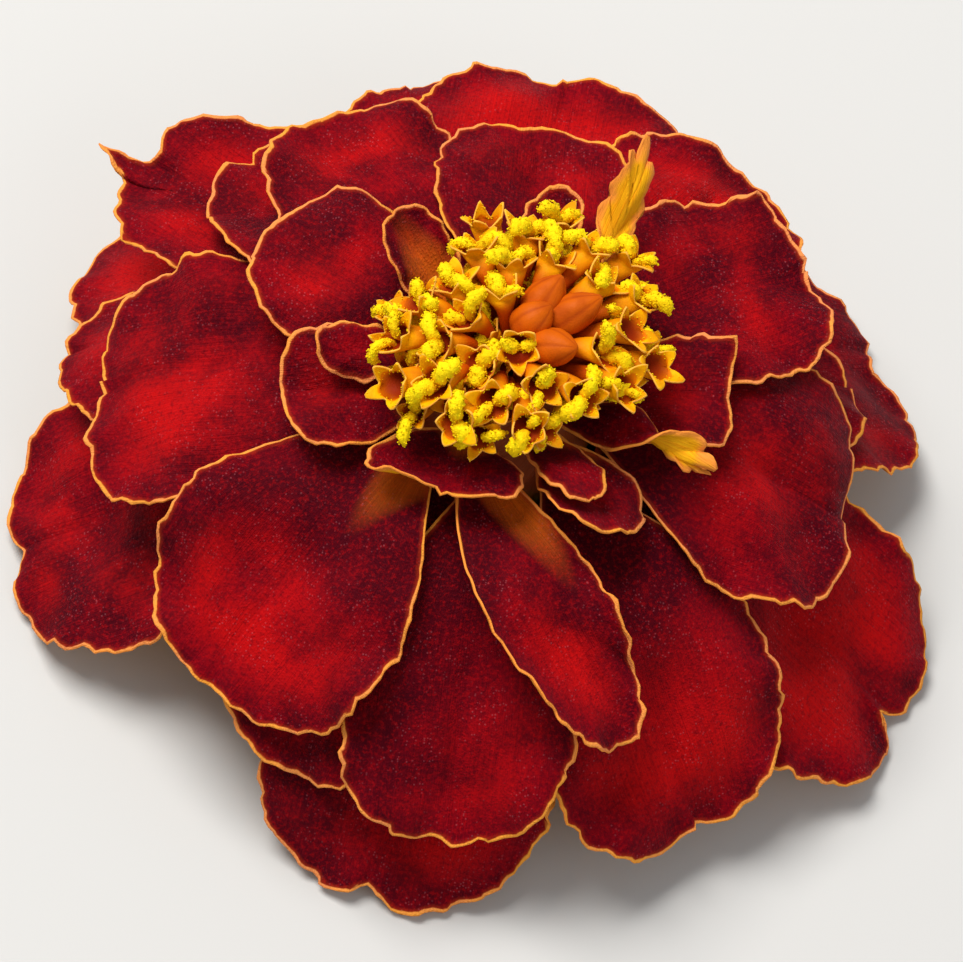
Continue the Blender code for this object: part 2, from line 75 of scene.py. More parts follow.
# ------------------------------------------------------------------ node helpers and groups
class Nodes:
    """Adds and joins nodes in one tree."""

    def __init__(self, tree: bpy.types.NodeTree) -> None:
        """Keep the tree that nodes are added to."""
        self.tree = tree

    def add(self, kind: str, **settings: object) -> bpy.types.Node:
        """Add one node.

        Args:
            kind: node type without its ShaderNode prefix.
            settings: attributes to set on the node.

        Returns:
            The new node.
        """
        node = self.tree.nodes.new("ShaderNode" + kind)
        for key, value in settings.items():
            setattr(node, key, value)
        return node

    def put(self, node: bpy.types.Node, socket: str | int, value: object) -> None:
        """Give a socket a value or a link.

        Args:
            node: node whose input is set.
            socket: name or number of the input.
            value: number, colour or an output socket.
        """
        if isinstance(value, bpy.types.NodeSocket):
            self.tree.links.new(value, node.inputs[socket])
        elif isinstance(value, tuple) and len(value) == 3 and node.inputs[socket].type == "RGBA":
            node.inputs[socket].default_value = (*value, 1.0)
        else:
            node.inputs[socket].default_value = value

    def math(self, operation: str, a: object, b: object = 0.0,
             clamp: bool = False) -> bpy.types.NodeSocket:
        """Arithmetic on two values.

        Args:
            operation: name of the Math operation.
            a: first value or socket.
            b: second value or socket.
            clamp: keep the answer in 0..1.

        Returns:
            The answer's socket.
        """
        node = self.add("Math", operation=operation, use_clamp=clamp)
        self.put(node, 0, a)
        self.put(node, 1, b)
        return node.outputs[0]

    def times(self, a: object, b: object) -> bpy.types.NodeSocket:
        """Product of two values."""
        return self.math("MULTIPLY", a, b)

    def plus(self, a: object, b: object, clamp: bool = False) -> bpy.types.NodeSocket:
        """Sum of two values."""
        return self.math("ADD", a, b, clamp)

    def span(self, value: object, low: object, high: object, out_low: float = 0.0,
             out_high: float = 1.0) -> bpy.types.NodeSocket:
        """Smooth step between two values.

        Args:
            value: socket to map.
            low: value that gives out_low.
            high: value that gives out_high.
            out_low: answer below low.
            out_high: answer above high.

        Returns:
            The mapped socket.
        """
        node = self.add("MapRange", interpolation_type="SMOOTHSTEP")
        for socket, item in enumerate((value, low, high, out_low, out_high)):
            self.put(node, socket, item)
        return node.outputs[0]

    def mix(self, share: object, a: object, b: object) -> bpy.types.NodeSocket:
        """Mix two colours.

        Args:
            share: 0 gives a, 1 gives b.
            a: first colour or socket.
            b: second colour or socket.

        Returns:
            The mixed colour.
        """
        node = self.add("Mix", data_type="RGBA", blend_type="MIX")
        self.put(node, 0, share)
        self.put(node, 6, a)
        self.put(node, 7, b)
        return node.outputs[2]

    def noise(self, vector: object, scale: float, detail: float = 3.0,
              rough: float = 0.55) -> bpy.types.NodeSocket:
        """Cloudy noise value.

        Args:
            vector: coordinates.
            scale: size of the pattern.
            detail: octaves.
            rough: strength of the finer octaves.

        Returns:
            The noise value.
        """
        node = self.add("TexNoise")
        self.put(node, "Vector", vector)
        self.put(node, "Scale", scale)
        self.put(node, "Detail", detail)
        self.put(node, "Roughness", rough)
        return node.outputs[0]

    def place(self) -> bpy.types.NodeSocket:
        """Coordinates on the object."""
        return self.add("TexCoord").outputs["Object"]

    def cells(self, scale: object) -> bpy.types.Node:
        """Cells of a crystal-like pattern.

        Args:
            scale: cells in a metre.

        Returns:
            The pattern's node.
        """
        node = self.add("TexVoronoi", feature="F1")
        self.put(node, "Vector", self.place())
        self.put(node, "Scale", scale)
        return node

    def attribute(self, name: str) -> bpy.types.NodeSocket:
        """Value stored on the mesh."""
        return self.add("Attribute", attribute_name=name).outputs["Fac"]


class EffectGroups:
    """Shader node groups that several finishes share, each built once."""

    def __init__(self) -> None:
        """Build every group."""
        self.streaks = self._streaks()
        self.nap = self._nap()
        self.mottle = self._mottle()

    @staticmethod
    def _start(name: str, inputs: Sequence[tuple[str, float]],
               outputs: Sequence[str]) -> tuple[bpy.types.NodeTree, Nodes, bpy.types.Node,
                                                bpy.types.Node]:
        """Open a new group with value sockets.

        Args:
            name: group name.
            inputs: names and default values.
            outputs: names.

        Returns:
            The tree, its helper, its input node and its output node.
        """
        tree = bpy.data.node_groups.new(name, "ShaderNodeTree")
        for label, default in inputs:
            socket = tree.interface.new_socket(label, in_out="INPUT",
                                               socket_type="NodeSocketFloat")
            socket.default_value = default
        for label in outputs:
            tree.interface.new_socket(label, in_out="OUTPUT", socket_type="NodeSocketFloat")
        return (tree, Nodes(tree), tree.nodes.new("NodeGroupInput"),
                tree.nodes.new("NodeGroupOutput"))

    def _streaks(self) -> bpy.types.NodeTree:
        """Fine lines that run out along a ray's veins.

        Returns:
            Group with a mask and a height.
        """
        tree, n, given, out = self._start(
            "vein_streaks", (("Along", 0.0), ("Vein", 0.0), ("Fineness", 14.0)),
            ("Mask", "Height"))
        across = n.times(given.outputs["Vein"], given.outputs["Fineness"])
        along = n.times(given.outputs["Along"], 2.2)
        place = n.add("CombineXYZ")
        n.put(place, 0, across)
        n.put(place, 1, along)
        broad = n.noise(place.outputs[0], 1.0, 3.0, 0.6)
        fine = n.noise(place.outputs[0], 3.1, 2.0, 0.5)
        n.put(out, "Mask", n.span(n.plus(n.times(broad, 0.65),
                                         n.times(fine, 0.35)), 0.36, 0.66))
        n.put(out, "Height", n.plus(broad, n.times(fine, 0.6)))
        return tree

    def _nap(self) -> bpy.types.NodeTree:
        """Velvet of tiny raised cells with a few that catch the light.

        Returns:
            Group with a glint mask and a height.
        """
        tree, n, given, out = self._start("velvet_nap", (("Cell", 5200.0), ("Glints", 0.90)),
                                          ("Glint", "Height"))
        cell = n.cells(given.outputs["Cell"])
        dot = n.span(cell.outputs["Distance"], 0.20, 0.45, 1.0, 0.0)
        split = n.add("SeparateColor")
        n.put(split, 0, cell.outputs["Color"])
        chance = n.math("GREATER_THAN", split.outputs[0], given.outputs["Glints"])
        patch = n.span(n.noise(n.place(), 420.0, 2.0), 0.42, 0.62)
        n.put(out, "Glint", n.times(n.times(dot, chance), patch))
        n.put(out, "Height", n.span(cell.outputs["Distance"], 0.0, 0.7, 1.0, 0.0))
        return tree

    def _mottle(self) -> bpy.types.NodeTree:
        """Soft patches of two sizes.

        Returns:
            Group with a mask.
        """
        tree, n, given, out = self._start("soft_mottle", (("Large", 180.0), ("Small", 900.0)),
                                          ("Mask",))
        broad, small = (n.noise(n.place(), given.outputs[label], 2.0, 0.5)
                        for label in ("Large", "Small"))
        both = n.plus(n.times(broad, 0.6), n.times(small, 0.4))
        n.put(out, "Mask", n.span(both, 0.38, 0.62))
        return tree


def use_group(n: Nodes, tree: bpy.types.NodeTree, **values: object) -> bpy.types.Node:
    """Place a group in a material.

    Args:
        n: helper of the material's tree.
        tree: the group.
        values: input values by name.

    Returns:
        The group node.
    """
    node = n.tree.nodes.new("ShaderNodeGroup")
    node.node_tree = tree
    for label, value in values.items():
        n.put(node, label, value)
    return node


def open_material(name: str, rough: float, sheen: float = 0.0,
                  sheen_tint: Colour = (1.0, 1.0, 1.0),
                  specular: float = 0.4) -> tuple[bpy.types.Material, Nodes, bpy.types.Node]:
    """Start a material with its constant shader values set.

    Args:
        name: material name.
        rough: roughness where nothing drives it.
        sheen: weight of the velvet sheen.
        sheen_tint: colour of the sheen.
        specular: specular level.

    Returns:
        The material, its node helper and its shader.
    """
    material = bpy.data.materials.new(name)
    material.use_nodes = True
    shader = material.node_tree.nodes["Principled BSDF"]
    shader.inputs["Roughness"].default_value = rough
    shader.inputs["Sheen Weight"].default_value = sheen
    shader.inputs["Sheen Tint"].default_value = (*sheen_tint, 1.0)
    shader.inputs["Sheen Roughness"].default_value = 0.45
    shader.inputs["Specular IOR Level"].default_value = specular
    return material, Nodes(material.node_tree), shader


def drive(n: Nodes, shader: bpy.types.Node, colour: object, rough: object, height: object,
          depth: float, strength: float) -> None:
    """Give a shader its colour, its roughness and its fine relief.

    Args:
        n: helper of the material's tree.
        shader: shader that takes them.
        colour: colour socket.
        rough: roughness socket.
        height: height socket.
        depth: relief in metres.
        strength: share of the relief.
    """
    node = n.add("Bump")
    n.put(node, "Strength", strength)
    n.put(node, "Distance", depth)
    n.put(node, "Height", height)
    n.put(shader, "Base Color", colour)
    n.put(shader, "Roughness", rough)
    n.put(shader, "Normal", node.outputs[0])


# ------------------------------------------------------------------ finishes
@dataclass(frozen=True)
class VelvetFinish:
    """Upper face of a ray: dark red velvet inside a thin golden rim."""

    deep: Colour = (0.052, 0.0, 0.0042)
    red: Colour = (0.25, 0.0, 0.0060)
    bright: Colour = (0.60, 0.0035, 0.0028)
    rim: Colour = (0.90, 0.29, 0.085)
    rim_gold: Colour = (0.98, 0.40, 0.025)
    warm: Colour = (0.45, 0.035, 0.006)
    base: Colour = (0.85, 0.17, 0.005)
    glint: Colour = (0.70, 0.18, 0.22)
    rim_mm: float = 0.17

    def build(self, groups: EffectGroups) -> bpy.types.Material:
        """Make the material.

        Args:
            groups: shared effects.

        Returns:
            The material.
        """
        material, n, shader = open_material("petal_velvet_upper", 0.62, 0.05,
                                            (1.0, 0.20, 0.30), 0.05)
        along, vein, edge = (n.attribute(k) for k in ("along", "vein", "rim"))
        wedge, dark_and_shaded_foot_reach = n.attribute("wedge"), n.attribute("dark_and_shaded_foot_reach")
        streak = use_group(n, groups.streaks, Along=along, Vein=vein, Fineness=9.0)
        fibre = streak.outputs["Mask"]
        nap = use_group(n, groups.nap, Cell=6400.0, Glints=0.76)
        glint = nap.outputs["Glint"]
        patch = use_group(n, groups.mottle, Large=120.0, Small=520.0).outputs["Mask"]
        # painted light: cloudy patches of brighter red over the middle of each blade, fading
        # towards its foot and edge
        middle = n.times(n.span(dark_and_shaded_foot_reach, 0.30, 0.72), n.span(edge, 0.3, 3.6))
        cloud = use_group(n, groups.mottle, Large=75.0, Small=260.0).outputs["Mask"]
        painted_light_patches = n.times(middle, n.times(cloud, n.plus(0.65, n.times(fibre, 0.35))))
        tone = n.plus(n.times(patch, 0.60), n.times(fibre, 0.20), clamp=True)
        # painted shade: each blade darker towards its foot, where other rays shade it; partly the
        # velvet's own dark
        fan = n.plus(dark_and_shaded_foot_reach, n.times(cloud, 0.16))
        tone = n.times(tone, n.span(fan, 0.22, 0.72, 0.10, 1.0))
        colour = n.mix(tone, self.deep, self.red)
        colour = n.mix(n.times(painted_light_patches, 0.85), colour, self.bright)
        grain = n.noise(n.place(), 4200.0, 3.0, 0.7)
        colour = n.mix(n.span(grain, 0.46, 0.70, 0.0, 0.28), colour, self.bright)
        colour = n.mix(n.span(grain, 0.32, 0.50, 0.42, 0.0), colour, self.deep)
        colour = n.mix(n.times(glint, 0.17), colour, self.glint)
        near_foot = n.span(along, n.times(wedge, 0.10), n.times(wedge, 0.50), 0.85, 0.0)
        foot = n.times(near_foot, n.plus(0.65, n.times(fibre, 0.35)))
        colour = n.mix(foot, colour, self.base)
        wobble = n.math("SUBTRACT", n.noise(n.place(), 900.0, 2.0), 0.5)
        near = n.plus(edge, n.times(wobble, 0.28))
        warm = n.span(near, self.rim_mm * 0.8, self.rim_mm * 2.6, 1.0, 0.0)
        colour = n.mix(n.times(warm, 0.50), colour, self.warm)
        gold = n.span(near, self.rim_mm * 0.70, self.rim_mm * 1.25, 1.0, 0.0)
        border = n.mix(n.times(patch, 0.7), self.rim, self.rim_gold)
        colour = n.mix(gold, colour, border)
        rough = n.math("SUBTRACT", 0.66, n.times(glint, 0.3))
        relief = n.plus(n.times(nap.outputs["Height"], 0.35), streak.outputs["Height"])
        drive(n, shader, colour, rough, relief, 0.00010, 0.8)
        return material


@dataclass(frozen=True)
class GoldenBackFinish:
    """Underside and cut edge of a ray: golden yellow with orange veins."""

    pale: Colour = (1.0, 0.50, 0.008)
    deep: Colour = (0.88, 0.26, 0.003)
    rim: Colour = (0.94, 0.30, 0.045)

    def build(self, groups: EffectGroups) -> bpy.types.Material:
        """Make the material.

        Args:
            groups: shared effects.

        Returns:
            The material.
        """
        material, n, shader = open_material("petal_golden_back", 0.55, specular=0.06)
        along, vein, edge = (n.attribute(k) for k in ("along", "vein", "rim"))
        streak = use_group(n, groups.streaks, Along=along, Vein=vein, Fineness=13.0)
        patch = use_group(n, groups.mottle, Large=150.0, Small=700.0).outputs["Mask"]
        tone = n.plus(n.times(streak.outputs["Mask"], 0.6), n.times(patch, 0.25), clamp=True)
        colour = n.mix(tone, self.pale, self.deep)
        colour = n.mix(n.span(edge, 0.1, 0.5, 1.0, 0.0), colour, self.rim)
        rough = n.plus(0.45, n.times(patch, 0.15))
        drive(n, shader, colour, rough, streak.outputs["Height"], 0.00014, 0.8)
        return material


@dataclass(frozen=True)
class FloretFinish:
    """Disc floret tube and lobes: orange, red painted shade deep inside the tube, pale at free
    edges.
    """

    lobe: Colour = (1.0, 0.48, 0.002)
    blush: Colour = (0.72, 0.14, 0.001)
    painted_throat_shade: Colour = (0.26, 0.020, 0.001)
    # the tube's own red-orange, darkened in part as painted shade deep between the florets
    tube: Colour = (0.50, 0.062, 0.001)
    edge: Colour = (0.98, 0.50, 0.08)

    def build(self, groups: EffectGroups) -> bpy.types.Material:
        """Make the material.

        Args:
            groups: shared effects.

        Returns:
            The material.
        """
        material, n, shader = open_material("floret_orange", 0.5, specular=0.04)
        reach, inner = n.attribute("along"), n.attribute("vein")
        patch = use_group(n, groups.mottle, Large=420.0, Small=1600.0).outputs["Mask"]
        colour = n.mix(n.span(reach, 0.50, 0.80), self.tube, self.lobe)
        colour = n.mix(n.times(patch, 0.50), colour, self.tube)
        colour = n.mix(n.span(inner, 0.02, 0.20, 0.0, 0.80), colour, self.blush)
        # painted shade: dark red deep down inside the tube
        colour = n.mix(n.span(inner, 0.25, 0.80), colour, self.painted_throat_shade)
        colour = n.mix(n.span(reach, 0.965, 1.0, 0.0, 0.7), colour, self.edge)
        nap = use_group(n, groups.nap, Cell=9000.0, Glints=0.9)
        rough = n.plus(0.42, n.times(patch, 0.2))
        drive(n, shader, colour, rough, nap.outputs["Height"], 0.00003, 0.35)
        return material


@dataclass(frozen=True)
class PollenFinish:
    """Bright yellow furry stigma branches and pollen."""

    light: Colour = (1.0, 0.76, 0.006)
    shade: Colour = (0.90, 0.40, 0.004)

    def build(self, groups: EffectGroups) -> bpy.types.Material:
        """Make the material.

        Args:
            groups: shared effects.

        Returns:
            The material.
        """
        material, n, shader = open_material("pollen_yellow", 0.75, specular=0.04)
        patch = use_group(n, groups.mottle, Large=600.0, Small=2600.0).outputs["Mask"]
        foot = n.span(n.attribute("along"), 0.0, 0.5, 1.0, 0.0)
        share = n.plus(n.times(foot, 0.8), n.times(patch, 0.35), clamp=True)
        fur = n.noise(n.place(), 5200.0, 2.0, 0.7)
        drive(n, shader, n.mix(share, self.light, self.shade),
              n.span(patch, 0.0, 1.0, 0.65, 0.85), fur, 0.00012, 1.0)
        return material


@dataclass(frozen=True)
class BudFinish:
    """Closed florets: smooth deep orange with faint ribs."""

    light: Colour = (0.60, 0.105, 0.001)
    shade: Colour = (0.26, 0.020, 0.001)

    def build(self, groups: EffectGroups) -> bpy.types.Material:
        """Make the material.

        Args:
            groups: shared effects.

        Returns:
            The material.
        """
        material, n, shader = open_material("bud_orange", 0.5, specular=0.08)
        patch = use_group(n, groups.mottle, Large=320.0, Small=1100.0).outputs["Mask"]
        low = n.span(n.attribute("along"), 0.35, 0.95, 1.0, 0.0)
        share = n.plus(n.times(low, 0.75), n.times(patch, 0.4), clamp=True)
        groove = n.span(n.attribute("vein"), 0.45, 1.0, 0.0, 0.40)
        colour = n.mix(share, self.light, self.shade)
        nap = use_group(n, groups.nap, Cell=8000.0, Glints=0.9)
        drive(n, shader, n.mix(groove, colour, self.shade),
              n.span(patch, 0.0, 1.0, 0.50, 0.70), nap.outputs["Height"], 0.00003, 0.25)
        return material


@dataclass(frozen=True)
class GreenFinish:
    """Skin of the cup and the stem: satin green with darker glands and pale lines."""

    name: str
    light: Colour
    dark: Colour
    gland: Colour = (0.10, 0.10, 0.02)
    dome: Colour = (0.40, 0.070, 0.003)
    flesh: Colour = (0.62, 0.66, 0.30)
    glands: float = 0.0

    def build(self, groups: EffectGroups) -> bpy.types.Material:
        """Make the material.

        Args:
            groups: shared effects.

        Returns:
            The material.
        """
        material, n, shader = open_material(self.name, 0.5, 0.05, specular=0.4)
        along, vein, cut = (n.attribute(k) for k in ("along", "vein", "rim"))
        streak = use_group(n, groups.streaks, Along=along, Vein=vein, Fineness=60.0)
        patch = use_group(n, groups.mottle, Large=220.0, Small=1000.0).outputs["Mask"]
        share = n.plus(n.times(streak.outputs["Mask"], 0.5), n.times(patch, 0.4), clamp=True)
        colour = n.mix(share, self.light, self.dark)
        spot = n.span(n.cells(850.0).outputs["Distance"], 0.10, 0.26, self.glands, 0.0)
        colour = n.mix(spot, colour, self.gland)
        colour = n.mix(n.span(along, 0.74, 0.84), colour, self.dome)
        colour = n.mix(cut, colour, self.flesh)
        drive(n, shader, colour, n.span(patch, 0.0, 1.0, 0.42, 0.58),
              streak.outputs["Height"], 0.00016, 0.8)
        return material


@dataclass(frozen=True)
class FloorFinish:
    """Plain pale surface the flower lies on."""

    colour: Colour = (0.62, 0.615, 0.60)
    shade: Colour = (0.57, 0.565, 0.55)

    def build(self) -> bpy.types.Material:
        """Make the material.

        Returns:
            The material.
        """
        material, n, shader = open_material("pale_floor", 0.8, specular=0.2)
        soft = n.noise(n.place(), 30.0, 2.0)
        n.put(shader, "Base Color", n.mix(n.times(soft, 0.06), self.colour, self.shade))
        return material


# ------------------------------------------------------------------ meshes
def unit(v: np.ndarray, tiny: float = 0.0) -> np.ndarray:
    """Vectors brought to unit length."""
    return v / (np.linalg.norm(v, axis=-1, keepdims=True) + tiny)


def run_length(steps: np.ndarray) -> np.ndarray:
    """Length run at each point of a line."""
    return np.concatenate([[0.0], np.cumsum(steps)])


def turns(count: int) -> np.ndarray:
    """Even angles once round."""
    return np.linspace(0, math.tau, count, endpoint=False)


def circle(angle: np.ndarray, side: np.ndarray, other: np.ndarray) -> np.ndarray:
    """Directions round an axis."""
    return np.cos(angle)[:, None] * side + np.sin(angle)[:, None] * other


def level_ring(radius: object, angle: np.ndarray, z: object) -> np.ndarray:
    """Ring of points round the flower's axis."""
    return np.stack(np.broadcast_arrays(radius * np.cos(angle), radius * np.sin(angle), z),
                    axis=1)


@dataclass
class Solid:
    """Points in millimetres with their faces, slots and per-point values."""

    points: np.ndarray
    faces: list[tuple[int, ...]]
    slots: list[int]
    values: dict[str, np.ndarray]

    @staticmethod
    def join(solids: Sequence["Solid"]) -> "Solid":
        """Put several solids in one.

        Args:
            solids: solids with the same value names.

        Returns:
            One solid.
        """
        faces: list[tuple[int, ...]] = []
        slots: list[int] = []
        start = 0
        for solid in solids:
            faces += [tuple(k + start for k in face) for face in solid.faces]
            slots += solid.slots
            start += len(solid.points)
        names = solids[0].values
        return Solid(np.concatenate([s.points for s in solids]), faces, slots,
                     {k: np.concatenate([s.values[k] for s in solids]) for k in names})

    def place(self, name: str, materials: Sequence[bpy.types.Material],
              axis: Vector) -> bpy.types.Object:
        """Make the object, in metres and on the stem's axis.

        Args:
            name: object name.
            materials: one per slot.
            axis: where the flower's axis stands.

        Returns:
            The object.
        """
        mesh = bpy.data.meshes.new(name)
        points = self.points * MM + np.array([axis.x, axis.y, 0.0])
        mesh.from_pydata(points.tolist(), [], self.faces)
        for label, value in self.values.items():
            layer = mesh.attributes.new(label, "FLOAT", "POINT")
            layer.data.foreach_set("value", np.ascontiguousarray(value, dtype=np.float32))
        for material in materials:
            mesh.materials.append(material)
        mesh.polygons.foreach_set("material_index", self.slots)
        mesh.polygons.foreach_set("use_smooth", [True] * len(self.faces))
        mesh.update()
        obj = bpy.data.objects.new(name, mesh)
        bpy.context.scene.collection.objects.link(obj)
        return obj


def show(piece: bpy.types.Object, node: str) -> None:
    """Attach a piece to the root body and hide the CAD node it stands for.

    Args:
        piece: the new piece.
        node: CAD node it replaces.
    """
    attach(piece, "root")
    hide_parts(node)
    LOG.info("%s: %d faces", piece.name, len(piece.data.polygons))


# ------------------------------------------------------------------ rays
RAY_THICK = 0.32
RAY_GAP = 0.32
BLADE = 0.20
CLAW = 0.75
RINGS = {1: (5.7, 13.6), 2: (5.2, 14.3), 3: (4.5, 15.0), 4: (3.8, 15.8), 5: (3.1, 16.7)}


@dataclass(frozen=True)
class Ray:
    """One ray petal, in millimetres and degrees; angles run anticlockwise seen from above.

    Attributes:
        name: node it stands for.
        ring: ring of the receptacle it grows from.
        root: azimuth of its foot.
        tip: azimuth, radius and height of the end of its midrib.
        half: greatest half width.
        rise: slope at the foot.
        fall: slope at the tip.
        belly: where it is widest, 0 foot to 1 tip.
        square: 2 for a round end, 4 for a square one.
        bend: cross curl in 1/mm, positive turns the edges up.
        roll: extra curl near both edges.
        twist: turn about the midrib at the tip.
        start: where along it the turn begins.
        lean: positive makes the anticlockwise side wider.
        notches: angle round the end, depth and spread of each dent.
        folds: place across, depth and spread of each crease.
        wave: ruffle at the edge.
        frill: fine waves of the rim.
        seed: seed of its own variation.
    """

    name: str
    ring: int
    root: float
    tip: tuple[float, float, float]
    half: float
    rise: float = 6.0
    fall: float = -35.0
    belly: float = 0.62
    square: float = 2.4
    bend: float = 0.0
    roll: float = 0.0
    twist: float = 0.0
    start: float = 0.38
    lean: float = 0.0
    notches: tuple[tuple[float, float, float], ...] = ()
    folds: tuple[tuple[float, float, float], ...] = ()
    wave: float = 0.25
    frill: float = 0.16
    seed: int = 1


RAYS = (
    # lowest ring: the bloom rests on the ends of these
    Ray("ray_front_low", 1, -95, (-95.5, 24.8, 0.2), 8.3, notches=((-4, 0.12, 6),), seed=1),
    Ray("ray_left_low", 1, -166, (-166, 27.2, 0.3), 9.0, notches=((4, 0.14, 6),), seed=2),
    Ray("ray_left_back_low", 1, 148, (148.5, 28.6, 0.6), 7.8, seed=4),
    Ray("ray_left_small", 1, 170, (171, 25.4, 2.6), 5.4, seed=3),
    Ray("ray_right_low", 1, 37, (39, 27.0, 0.8), 9.8, square=2.8,
        notches=((-12, 0.14, 6),), seed=8),
    Ray("ray_right_front_low", 1, -14, (-17.5, 27.2, 0.45), 8.4, notches=((-3, 0.22, 6),), seed=9),
    Ray("ray_back_right_small", 1, 68, (72, 26.2, 7.4), 4.5, fall=-20, seed=7),
    Ray("ray_back_small", 1, 113, (109, 27.0, 7.4), 5.5, fall=-20, seed=5),
    Ray("ray_back_low", 1, 90.5, (89, 26.4, 9.8), 8.4, fall=-15,
        notches=((3, 0.14, 6), (-28, 0.07, 14)), seed=6),
    # second ring
    Ray("ray_front_left_small", 2, -116, (-114, 21.8, 3.6), 6.2, seed=10),
    Ray("ray_right_small", 2, 26, (27, 22.1, 4.5), 5.8, seed=13),
    Ray("ray_front_right", 2, -50, (-52, 24.0, 2.6), 7.4, square=2.8, wave=0.4,
        notches=((2, 0.07, 8), (-28, -0.05, 8)), seed=14),
    Ray("ray_front", 2, -90, (-87.5, 22.9, 3.2), 6.5, square=3.0, seed=15,
        notches=((-30, 0.04, 5), (-8, 0.05, 5), (16, 0.05, 5)), wave=0.35),
    Ray("ray_back_right", 2, 58, (59.5, 23.6, 9.2), 7.0, fall=-12, wave=0.35, seed=12),
    Ray("ray_back_left_horned", 2, 140, (144, 28.0, 9.8), 6.3, fall=-8, square=2.6,
        notches=((12, -0.30, 5), (-3, 0.10, 5), (-40, 0.06, 14)), folds=((0.25, 0.7, 0.3),),
        seed=11),
    # third ring
    Ray("ray_right", 3, -2, (-3, 20.4, 8.6), 7.6, square=3.0, wave=0.4, seed=19),
    Ray("ray_left", 3, 177, (180.5, 22.8, 7.6), 7.6, square=3.0, lean=0.12, wave=0.4, seed=17),
    Ray("ray_front_left", 3, -135, (-129, 21.8, 5.8), 7.7, belly=0.69, lean=0.05, wave=0.4,
        seed=16),
    Ray("ray_upper_left", 3, 138, (137, 22.8, 11.2), 6.0, fall=-12,
        notches=((6, 0.12, 6),), seed=18),
    # fourth ring
    Ray("ray_back_left_inner", 4, 122, (128, 21.2, 13.6), 6.0, fall=-12, wave=0.4, seed=20),
    Ray("ray_back_inner", 4, 88, (91, 18.2, 14.4), 5.7, fall=-5, rise=10, square=3.2,
        notches=((14, 0.09, 7),), wave=0.4, seed=21),
    Ray("ray_right_inner", 4, 40, (39, 20.4, 13.6), 6.4, fall=-20, notches=((40, -0.14, 8),),
        wave=0.4, seed=22),
    Ray("ray_left_inner", 4, 156, (154, 15.8, 16.0), 5.0, fall=-8, rise=8,
        notches=((-22, 0.08, 9),), seed=23),
    Ray("ray_front_rolled", 4, -96, (-61.2, 20.3, 9.2), 3.9, bend=0.06, roll=60, square=2.1,
        belly=0.55, lean=-0.25, seed=24),
    Ray("ray_boat", 4, 193, (194, 12.4, 16.4), 3.7, lean=0.12, rise=0, fall=5, belly=0.7,
        square=3.0, bend=0.10, seed=25),
    Ray("ray_fold_right", 4, 5, (7, 12.7, 16.8), 3.6, rise=0, fall=5, belly=0.7, square=3.2,
        bend=0.06, notches=((40, -0.24, 10), (0, 0.08, 10)), seed=26),
    Ray("ray_crescent", 4, -122, (-106, 8.9, 18.2), 4.4, rise=10, fall=35, belly=0.7,
        square=3.0, bend=0.04, seed=27),
    Ray("ray_fold_front", 4, -45, (-49, 11.2, 17.0), 3.0, rise=-5, fall=5, belly=0.7,
        square=3.0, bend=0.08, twist=-40, seed=28),
    # smallest rays, against the disc
    Ray("ray_upright", 5, 45, (68.0, 14.9, 22.6), 1.15, rise=-5, fall=55, twist=-150, start=0.16,
        notches=((30, 0.2, 8), (-20, 0.2, 8)), seed=32),
    Ray("ray_cup", 5, 138, (137, 10.3, 20.8), 2.2, rise=-5, fall=60, belly=0.7,
        square=2.8, bend=0.5, seed=30),
    Ray("ray_tiny_left", 5, 183, (186, 10.8, 17.8), 1.5, rise=-5, fall=25, bend=0.1, seed=29),
    Ray("ray_tiny_back", 5, 96, (82, 12.2, 18.6), 1.8, rise=-5, fall=40, bend=0.1, seed=31),
    Ray("ray_curled_right", 5, -20, (-18, 12.9, 17.0), 1.6, rise=0, fall=-5, twist=-120,
        notches=((-35, 0.25, 8), (5, 0.3, 8), (40, 0.25, 8)), seed=33),
    Ray("ray_tiny_front", 5, -56, (-53, 9.6, 17.0), 1.7, rise=0, fall=-10, seed=34),
)


# how far the golden foot reaches, and how far beside the midrib it is strongest
GOLDEN_FEET = {"ray_front_left": (0.9, 1.3), "ray_front_rolled": (1.15, 1.3),
               "ray_cup": (2.2, 0.0), "ray_boat": (0.7, 1.3), "ray_crescent": (1.1, 1.3),
               "ray_tiny_front": (1.0, 1.3), "ray_fold_front": (0.9, 1.3)}
PLAIN_FOOT = (0.05, 0.0)
FOOT_SPREAD = 2.1
# how far the dark foot reaches: partly the velvet's own dark, partly painted shade where it lies
# under other rays
DARK_AND_SHADED_FEET = {"ray_front": 1.5, "ray_front_left": 1.15, "ray_front_right": 1.2}


